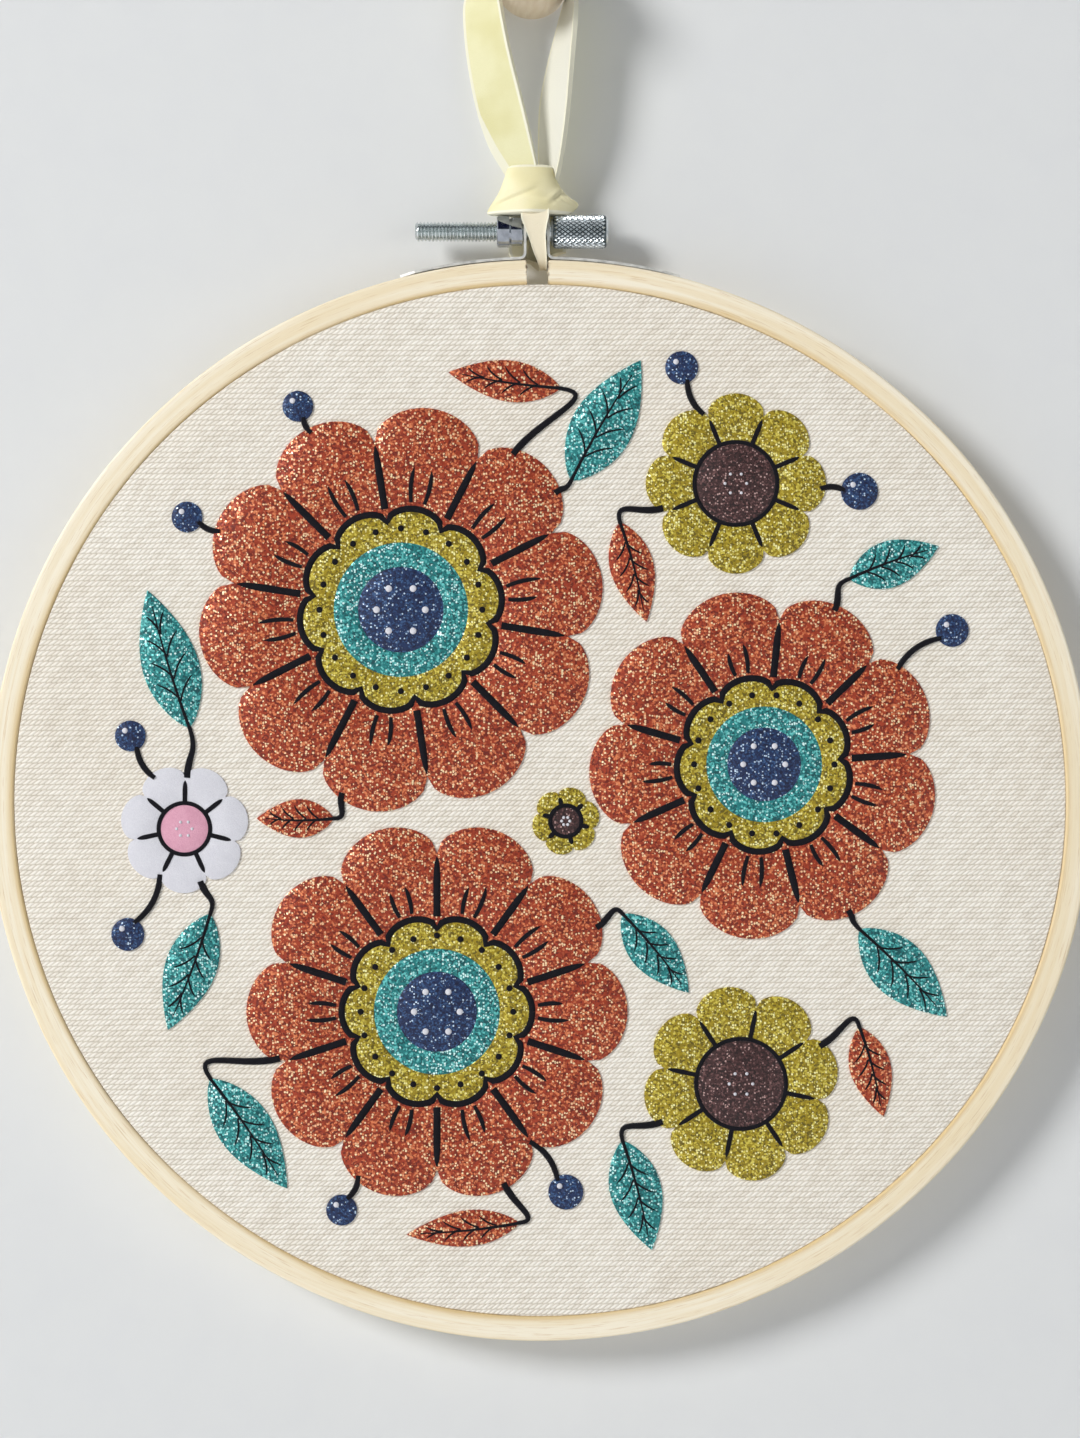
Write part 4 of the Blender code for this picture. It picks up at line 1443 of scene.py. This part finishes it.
@dataclass
class Motifs:
    """The film flowers, leaves, pods and berries on the cloth."""

    workshop: Workshop
    films: dict[str, bpy.types.Material]
    thickness: float = 0.35
    sink: float = 0.05
    edge_round: float = 0.09
    per_petal: int = 22
    cloth_face: float = field(init=False, default=0.0)
    flowers: dict[FlowerKind, tuple[Flower, ...]] = field(default_factory=lambda: {
        FlowerKind.BLOOM: (Flower("bloom_top", -27.0, 37.0, 39.5, 10, 9),
                           Flower("bloom_side", 43.5, 7.0, 34.0, 9, 24),
                           Flower("bloom_low", -20.0, -41.0, 37.0, 10, 0)),
        FlowerKind.BLOSSOM: (Flower("blossom_top", 38.0, 61.5, 17.5, 8, 0),
                             Flower("blossom_low", 39.0, -55.0, 19.0, 8, 11),
                             Flower("blossom_mid", 5.0, -4.0, 6.6, 6, 15)),
        FlowerKind.DAISY: (Flower("blossom_side", -69.0, -5.5, 12.5, 7, 12),),
    })
    leaves: Sequence[Leaf] = (
        Leaf("leaf_top", 6.0, 62.0, 60, 27.0, 12.0, "teal"),
        Leaf("leaf_left", -68.0, 14.0, 107, 28.0, 11.0, "teal"),
        Leaf("leaf_right_upper", 60.0, 43.0, 20, 18.5, 9.0, "teal"),
        Leaf("leaf_right_lower", 62.0, -25.0, -45, 24.0, 11.0, "teal"),
        Leaf("leaf_bottom", 16.0, -66.0, -75, 22.0, 10.0, "teal"),
        Leaf("leaf_left_bottom", -64.0, -54.0, -55, 26.0, 10.5, "teal"),
        Leaf("leaf_left_lower", -64.0, -22.0, 250, 24.0, 10.0, "teal"),
        Leaf("leaf_middle", 16.0, -22.0, -50, 20.0, 9.0, "teal"),
        Leaf("pod_top", 4.0, 80.0, 172, 22.0, 8.0, "copper"),
        Leaf("pod_upper", 15.5, 54.0, -75, 20.0, 8.5, "copper"),
        Leaf("pod_left", -40.0, -3.5, 180, 15.0, 7.5, "copper"),
        Leaf("pod_right", 62.0, -44.0, -75, 18.0, 8.0, "copper"),
        Leaf("pod_bottom", -4.0, -82.0, 186, 22.0, 7.0, "copper"))
    berries: Sequence[Berry] = (
        Berry("berry_1", 27.5, 84.0, 3.2), Berry("berry_2", 62.0, 60.0, 3.6),
        Berry("berry_3", 80.0, 33.0, 3.2), Berry("berry_4", -79.5, 12.5, 3.0),
        Berry("berry_5", 5.0, -76.0, 3.4), Berry("berry_6", -80.0, -26.0, 3.2),
        Berry("berry_7", -38.5, -79.5, 3.0), Berry("berry_8", -68.5, 55.0, 3.0),
        Berry("berry_9", -47.0, 76.5, 3.0))

    def build(self) -> None:
        """Builds every film piece."""
        low, _ = self.workshop.frame.local_box("canvas")
        self.cloth_face = low.y
        for kind, flowers in self.flowers.items():
            for flower in flowers:
                self.flower(flower, kind)
        for leaf in self.leaves:
            self.film(leaf.name, leaf.outline(), (), leaf.colour)
        for berry in self.berries:
            outline = arc((berry.x, berry.z), berry.radius, 0, 360, 40)[:-1]
            self.film(berry.name, outline, (), "navy")

    def flower(self, flower: Flower, kind: FlowerKind) -> None:
        """Builds a flower as rings of film that meet edge to edge.

        Args:
            flower: its place and size.
            kind: its rings of colour.
        """
        rings = kind.value
        for k, (colour, outside, inside, dip) in enumerate(rings):
            outer = flower.outline(flower.radius * outside, dip, self.per_petal)
            inner = ()
            if inside:
                inner = flower.outline(flower.radius * inside, rings[k + 1][3], self.per_petal)
            self.film(f"{flower.name}_{colour}", outer, inner, colour)

    def film(self, node: str, outer: Sequence[Point], inner: Sequence[Point], colour: str) -> None:
        """Cuts one film piece and lays it on the cloth.

        Args:
            node: the CAD node that it stands for.
            outer: its outline.
            inner: its hole's outline, or nothing.
            colour: its film.
        """
        back = self.cloth_face + self.sink
        bm = bmesh.new()
        loops = [ring_of(bm, [Vector((x, back, z)) for x, z in outer])]
        if inner:
            loops.append(ring_of(bm, [Vector((x, back, z)) for x, z in inner]))
            bmesh.ops.bridge_loops(bm, edges=loops[0] + loops[1])
        else:
            bmesh.ops.edgeloop_fill(bm, edges=loops[0])
        made = bmesh.ops.extrude_face_region(bm, geom=bm.faces[:])["geom"]
        verts = [part for part in made if isinstance(part, bmesh.types.BMVert)]
        bmesh.ops.translate(bm, vec=Vector((0, -self.thickness - self.sink, 0)), verts=verts)
        bmesh.ops.recalc_face_normals(bm, faces=bm.faces)
        front = back - self.thickness - self.sink
        rim = [edge for edge in bm.edges
               if all(abs(vert.co.y - front) < 1e-4 for vert in edge.verts)
               and any(abs(face.normal.y) < 0.5 for face in edge.link_faces)]
        bmesh.ops.bevel(bm, geom=rim, offset=self.edge_round, segments=2, profile=0.5,
                        affect="EDGES", material=-1)
        self.workshop.finish(node + "_film", bm, [self.films[colour]], colour + "_film", [node])


@dataclass
class Flock:
    """Raised black line work: stems, veins and petal lines, and dots."""

    workshop: Workshop
    black: bpy.types.Material
    white: bpy.types.Material
    motifs: Motifs
    height: float = 0.62
    sink: float = 0.05
    stem_dip: float = 0.17
    seed: int = 5
    dice: random.Random = field(init=False)
    flowers_by_rim: list[Flower] = field(init=False)

    def build(self) -> None:
        """Draws the lines of the flowers, the leaves and the berries."""
        self.dice = random.Random(self.seed)
        self.flowers_by_rim = [flower for group in self.motifs.flowers.values() for flower in group]
        for kind, flowers in self.motifs.flowers.items():
            for flower in flowers:
                self.flower_lines(flower, kind)
        self.leaf_lines()
        self.berry_lines()

    def stroke(self, bm: bmesh.types.BMesh, points: Sequence[Vector], widths: Sequence[float]) -> None:
        """Lays one raised line along points.

        Args:
            bm: the shape that it is added to.
            points: the line's middle, as (x, z).
            widths: its width at each point.
        """
        back = self.motifs.cloth_face + self.sink
        section = [Vector((x, y, 0)) for x, y in
                   [(0.5, 0.0), (0.46, 0.45), (0.32, 0.85), (0.0, 1.0), (-0.32, 0.85), (-0.46, 0.45),
                    (-0.5, 0.0)]]
        frames = []
        last = len(points) - 1
        for i, (point, width) in enumerate(zip(points, widths)):
            flat = (points[min(i + 1, last)] - points[max(i - 1, 0)]).normalized()
            along = Vector((flat.x, 0, flat.y))
            up = Vector((0, -1, 0))
            rise = self.height * min(1.0, 0.45 + width * 0.6) + self.sink
            frames.append(frame_at(Vector((point.x, back, point.y)), up.cross(along), up, along,
                                   width, rise))
        sweep(bm, section, frames)

    def taper(self, start: Vector, end: Vector, bend: float, width: float, thin_start: float,
              thin_end: float, steps: int = 10) -> tuple[list[Vector], list[float]]:
        """A bent line whose ends are thinner than its middle.

        Args:
            start: its first point.
            end: its last point.
            bend: how far its middle stands to the left, as a share of its length.
            width: its width in the middle.
            thin_start: its first point's share of that width.
            thin_end: its last point's share of that width.
            steps: how many pieces it is in.

        Returns:
            The points and the widths.
        """
        along = end - start
        side = Vector((-along.y, along.x)) * bend
        points, widths = [], []
        for i in range(steps + 1):
            t = i / steps
            points.append(start + along * t + side * 4 * t * (1 - t))
            swell = math.sin(math.pi * t) ** 0.6
            edge = thin_start + (thin_end - thin_start) * t
            widths.append(width * (edge + (1 - edge) * swell))
        return points, widths

    def dot(self, bm: bmesh.types.BMesh, x: float, z: float, radius: float, lift: float) -> None:
        """Adds a domed dot.

        Args:
            bm: the shape that it is added to.
            x: its middle's x.
            z: its middle's z.
            radius: its radius.
            lift: how far it stands out from the film.
        """
        made = bmesh.ops.create_uvsphere(bm, u_segments=14, v_segments=8, radius=1.0)["verts"]
        bmesh.ops.scale(bm, vec=Vector((radius, lift, radius)), verts=made)
        bmesh.ops.translate(bm, vec=Vector((x, self.motifs.cloth_face - self.motifs.thickness, z)),
                            verts=made)

    def flower_lines(self, flower: Flower, kind: FlowerKind) -> None:
        """Draws the scalloped line round a flower's eye and the lines between its petals.

        Args:
            flower: its place and size.
            kind: its rings of colour; a bloom also has veins and stamens.
        """
        bm = bmesh.new()
        centre = Vector((flower.x, flower.z))
        ring = kind.value[0]
        big = kind is FlowerKind.BLOOM
        line = 1.55 if big else 1.0
        inner = flower.radius * ring[2]
        outline = flower.outline(inner, kind.value[1][3], 12)
        points = [Vector(point) for point in outline]
        self.stroke(bm, points + points[:1], [line] * (len(points) + 1))
        for petal in range(flower.petals):
            around = TURN * (petal + 0.5) / flower.petals + math.radians(flower.turn)
            away = Vector((math.cos(around), math.sin(around)))
            dip = flower.radius * (1 - ring[3])
            self.stroke(bm, *self.taper(centre + away * inner, centre + away * (dip - 0.6), 0.0,
                                        line * 1.15, 1.0, 0.2))
            if not big:
                continue
            for lean in (-1, 1):
                turn = around + (math.pi + lean * 0.62) / flower.petals
                vein = Vector((math.cos(turn), math.sin(turn)))
                reach = 0.66 + 0.05 * self.dice.random()
                self.stroke(bm, *self.taper(centre + vein * inner * 1.06,
                                            centre + vein * flower.radius * reach, lean * 0.05,
                                            line * 0.7, 0.8, 0.2, 6))
        if big:
            stamens = flower.petals * 2
            for i in range(stamens):
                around = TURN * i / stamens
                reach = flower.radius * 0.40
                self.dot(bm, flower.x + reach * math.cos(around),
                         flower.z + reach * math.sin(around), 0.62, 0.34)
        self.workshop.finish(flower.name + "_lines", bm, [self.black], "black_flock")

    @staticmethod
    def bend(start: Vector, leave: Vector, reach: Vector, end: Vector, steps: int) -> list[Vector]:
        """A smooth curve between two points.

        Args:
            start: its first point.
            leave: the point that it heads for at first.
            reach: the point that it comes from at last.
            end: its last point.
            steps: how many pieces it is in.

        Returns:
            The points.
        """
        points = []
        for i in range(steps + 1):
            t = i / steps
            s = 1 - t
            points.append(start * s ** 3 + leave * (3 * s * s * t) + reach * (3 * s * t * t)
                          + end * t ** 3)
        return points

    def nearest_flower(self, place: Vector) -> Flower:
        """The flower whose rim is nearest to a place."""
        return min(self.flowers_by_rim,
                   key=lambda f: (place - Vector((f.x, f.z))).length - f.radius)

    def leaf_lines(self) -> None:
        """Draws each leaf's stem, midrib and side veins."""
        for leaf in self.motifs.leaves:
            bm = bmesh.new()
            along, across = leaf.directions()
            start = Vector((leaf.x, leaf.z))
            root, away = self.nearest_flower(start).rim_toward(start, self.stem_dip, 1.2)
            tip = start + along * leaf.length * 0.88
            pull = max((start - root).length * 0.55, 2.5)
            stem = self.bend(root, root + away * pull, start - along * pull, start, 14)
            rib = self.bend(start, start + along * leaf.length * 0.3 + across * 0.5,
                            start + along * leaf.length * 0.6 + across * 0.5, tip, 10)
            spine = stem + rib[1:]
            count = len(spine)
            widths = [1.5 - 1.15 * i / (count - 1) for i in range(count)]
            self.stroke(bm, spine, widths)
            for i in range(1, 5):
                share = 0.12 + 0.16 * i
                foot = start + along * leaf.length * (share - 0.08)
                for side in (-1, 1):
                    reach = leaf.half_width(share + 0.06) * 0.74
                    end = start + along * leaf.length * (share + 0.08) + across * side * reach
                    self.stroke(bm, *self.taper(foot, end, side * -0.08, 0.55, 0.9, 0.3, 5))
            self.workshop.finish(leaf.name + "_lines", bm, [self.black], "black_flock")

    def berry_lines(self) -> None:
        """Draws each berry's stem and its small white highlight."""
        stems, lights = bmesh.new(), bmesh.new()
        for berry in self.motifs.berries:
            place = Vector((berry.x, berry.z))
            root, _ = self.nearest_flower(place).rim_toward(place, self.stem_dip, 1.0)
            end = place + (root - place).normalized() * berry.radius * 0.8
            self.stroke(stems, *self.taper(root, end, 0.12, 1.2, 0.95, 0.75, 14))
            self.dot(lights, berry.x - berry.radius * 0.35, berry.z + berry.radius * 0.35, 0.55, 0.22)
        for flowers in self.motifs.flowers.values():
            for flower in flowers:
                eye = flower.radius * 0.12
                for i in range(6):
                    around = TURN * i / 6
                    self.dot(lights, flower.x + eye * math.cos(around),
                             flower.z + eye * math.sin(around), max(0.3, eye * 0.14), 0.22)
        self.workshop.finish("berry_stems", stems, [self.black], "black_flock")
        self.workshop.finish("white_dots", lights, [self.white], "white_film")


# Stage

@dataclass
class Studio:
    """The camera, the lights, the pale wall behind the hoop and the floor."""

    frame: HoopFrame
    view_height: float = 281.0
    view_distance: float = 640.0
    aim_z: float = 15.8
    sensor: float = 36.0
    wall_colour: Colour = srgb(221, 222, 221)
    wall_grit: Colour = srgb(217, 218, 219)
    floor_colour: Colour = srgb(228, 228, 228)
    floor_speckle: Colour = srgb(222, 222, 223)
    daylight: Colour = srgb(244, 246, 247)
    dusk: Colour = srgb(70, 84, 110)
    room_colour: Colour = srgb(222, 230, 231)
    ceiling_colour: Colour = srgb(30, 38, 74)
    wall_gap: float = 0.6
    wall_half: float = 2.2
    floor_drop: float = 0.55
    surround: float = 0.50

    def build(self) -> None:
        """Builds all of it."""
        self.camera()
        self.wall()
        self.floor()
        self.lights()
        self.world()
        bpy.context.scene.view_settings.view_transform = "Standard"

    def camera(self) -> None:
        """Looks straight at the hoop, as the photograph does."""
        data = bpy.data.cameras.new("camera")
        data.sensor_width = self.sensor
        data.lens = self.sensor * self.view_distance / self.view_height
        data.clip_start, data.clip_end = 0.01, 50.0
        camera = bpy.data.objects.new("camera", data)
        bpy.context.scene.collection.objects.link(camera)
        aim = self.frame.centre + Vector((0, 0, self.aim_z)) * MM
        camera.location = aim + Vector((0, -self.view_distance, 0)) * MM
        camera.rotation_euler = (math.radians(90), 0, 0)
        bpy.context.scene.camera = camera

    def paint(self) -> bpy.types.Material:
        """Pale wall paint, seen from its front alone, so that the hoop's back can be seen."""
        look = Surface("wall_paint", roughness=0.9, specular_ior_level=0.1)
        place = look.place(Vector((0, 0, 0)))
        grit = look.noise(place, 0.10, 3.0)
        look.set("Base Color", look.mix(grit.between(0.4, 0.7, 0.0, 0.25), self.wall_colour,
                                        self.wall_grit))
        look.set("Normal", look.bump(grit, 0.25, 0.25))
        back = look.wire("ShaderNodeNewGeometry", {}, {}, "Backfacing")
        shadow = look.wire("ShaderNodeLightPath", {}, {}, "Is Shadow Ray")
        clear = look.wire("ShaderNodeBsdfTransparent", {}, {})
        mixed = look.wire("ShaderNodeMixShader", {}, {0: back.math("MAXIMUM", shadow),
                                                      1: Wire(look, look.shader.outputs[0]), 2: clear})
        look.tree.links.new(mixed.socket, look.tree.nodes["Material Output"].inputs[0])
        return look.material

    def wall(self) -> None:
        """A plain backdrop at the plane that the peg is fixed to."""
        bm = bmesh.new()
        bmesh.ops.create_grid(bm, x_segments=2, y_segments=2, size=self.wall_half)
        bmesh.ops.rotate(bm, verts=bm.verts, cent=(0, 0, 0),
                         matrix=Matrix.Rotation(math.radians(90), 3, "X"))
        bmesh.ops.translate(bm, vec=Vector((0, self.wall_gap * MM, 0)), verts=bm.verts)
        self.stage("wall_backdrop", bm, self.paint())

    def floor(self) -> None:
        """A pale floor, well below the hoop."""
        look = Surface("floor_paint", roughness=0.8)
        speckle = look.noise(look.place(Vector((0, 0, 0))), 0.2, 3.0)
        look.set("Base Color", look.mix(speckle.between(0.4, 0.7), self.floor_colour,
                                        self.floor_speckle))
        bm = bmesh.new()
        bmesh.ops.create_grid(bm, x_segments=2, y_segments=2, size=self.wall_half)
        bmesh.ops.translate(bm, vec=Vector((0, 0, self.frame.centre.z - self.floor_drop)),
                            verts=bm.verts)
        self.stage("floor", bm, look.material)

    @staticmethod
    def stage(name: str, bm: bmesh.types.BMesh, material: bpy.types.Material) -> None:
        """Adds something that isn't part of the object.

        Args:
            name: its name.
            bm: its shape, which is used up.
            material: its finish.
        """
        mesh = bpy.data.meshes.new(name)
        bm.to_mesh(mesh)
        bm.free()
        mesh.materials.append(material)
        obj = bpy.data.objects.new(name, mesh)
        bpy.context.scene.collection.objects.link(obj)

    def lights(self) -> None:
        """A soft window light from the upper left and weak fills in front and behind."""
        rows = (("window", (-2.1, -1.9, 1.2), 1.0, 76.0), ("fill", (1.3, -1.6, -0.1), 1.2, 4.5),
                ("back_fill", (0.6, 1.4, 0.5), 1.2, 12.0))
        for name, place, size, power in rows:
            data = bpy.data.lights.new(name, "AREA")
            data.shape = "DISK"
            data.size = size
            data.energy = power
            light = bpy.data.objects.new(name, data)
            bpy.context.scene.collection.objects.link(light)
            light.location = self.frame.centre + Vector(place)
            light.rotation_mode = "QUATERNION"
            light.rotation_quaternion = (-Vector(place)).to_track_quat("-Z", "Y")

    def world(self) -> None:
        """A pale surround; only bounced light and mirrored metal meet a dim room in front."""
        world = bpy.data.worlds.new("surround")
        world.use_nodes = True
        nodes = Nodes(world.node_tree)
        background = world.node_tree.nodes["Background"]
        direction = nodes.wire("ShaderNodeTexCoord", {}, {}, "Generated")
        x, y, z = nodes.parts(direction)
        path = nodes.node("ShaderNodeLightPath", {}, {})
        seen, mirrored = (Wire(nodes, path.outputs[name])
                          for name in ("Is Camera Ray", "Is Glossy Ray"))
        patches = nodes.noise(direction, 2.2, 1.0).between(0.44, 0.56)
        dim = y.between(-0.1, -0.5) * z.between(-0.35, 0.05) * (patches * 0.6 + 0.4) * (1.0 - seen)
        ceiling = z.between(0.72, 0.80) * z.between(0.96, 0.92)
        room = nodes.mix(ceiling, self.room_colour, self.ceiling_colour)
        front = mirrored * y.between(0.25, -0.15) * x.between(-0.95, -0.65)
        colour = nodes.mix(dim, self.daylight, self.dusk)
        nodes.feed(background.inputs["Color"], nodes.mix(front, colour, room))
        background.inputs["Strength"].default_value = self.surround
        bpy.context.scene.world = world


def glitter_films() -> dict[str, bpy.types.Material]:
    """The film finishes by colour name."""
    makers = {
        "copper": Glitter("copper", srgb(112, 26, 4), srgb(166, 56, 22), srgb(226, 130, 82),
                          srgb(255, 230, 184)),
        "gold": Glitter("gold", srgb(104, 88, 2), srgb(166, 142, 14), srgb(218, 200, 80),
                        srgb(255, 250, 184), 0.44, 0.30),
        "teal": Glitter("teal", srgb(6, 78, 82), srgb(26, 130, 130), srgb(104, 202, 198),
                        srgb(226, 255, 252), 0.44, 0.30),
        "navy": Glitter("navy", srgb(8, 18, 54), srgb(22, 44, 88), srgb(58, 92, 138),
                        srgb(206, 226, 246), 0.38, 0.14),
        "brown": Glitter("brown", srgb(34, 14, 14), srgb(64, 34, 34), srgb(112, 76, 74),
                         srgb(206, 170, 164), 0.38, 0.16),
        "white": Felted("white", srgb(224, 223, 228), srgb(204, 203, 210)),
        "pink": Felted("pink", srgb(228, 172, 190), srgb(206, 142, 164)),
    }
    return {name: maker.material() for name, maker in makers.items()}


def main() -> None:
    """Builds the hoop art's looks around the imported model."""
    logging.basicConfig(level=logging.INFO, format="%(message)s")
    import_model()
    frame = HoopFrame.from_model()
    workshop = Workshop(frame)
    Studio(frame).build()
    low, high = frame.local_box("wall_peg")
    peg_centre = frame.centre + Vector(((low.x + high.x) / 2, 0, (low.z + high.z) / 2)) * MM
    screw_axis = frame.centre + Vector((0, 0, ThumbScrew.axis_height)) * MM
    threaded = CutSteel("threaded_steel", srgb(228, 234, 235), 0.16, Vector((0.3, 3, 3)), screw_axis,
                        1.50, 1.72, srgb(198, 206, 205)).material()
    knurled = CutSteel("knurled_steel", srgb(228, 233, 236), 0.14, Vector((0.3, 3, 3)), screw_axis,
                       2.97, 3.16, srgb(92, 102, 106)).material()
    plate = Steel("dull_plate", srgb(232, 230, 226), 0.42, Vector((0.4, 2, 2))).material()
    chrome = Steel("bright_nut", srgb(176, 181, 190), 0.05, Vector((2, 2, 0.4))).material()
    films = glitter_films()
    Strips(workshop, Bamboo(frame.centre, frame.oval).material()).build()
    StretchedCloth(workshop, Canvas(frame.centre).material()).build()
    Clamp(workshop, plate, chrome).build()
    ThumbScrew(workshop, threaded, knurled).build()
    Peg(workshop, PegWood(peg_centre).material()).build()
    # Painted light: a lighter copy of the velvet for the knot and the fold under the screw, which lie in
    # shade.
    lighter_velvet = Velvet("pressed_velvet", srgb(243, 235, 196), srgb(231, 220, 162), srgb(241, 230, 202),
                     srgb(248, 243, 220))
    Ribbon(workshop, Velvet().material(), lighter_velvet.material()).build()
    motifs = Motifs(workshop, films)
    motifs.build()
    black = Felted("black_flock", srgb(14, 13, 18), srgb(32, 31, 38), 0.12).material()
    Flock(workshop, black, films["white"], motifs).build()


if __name__ == "__main__":
    main()
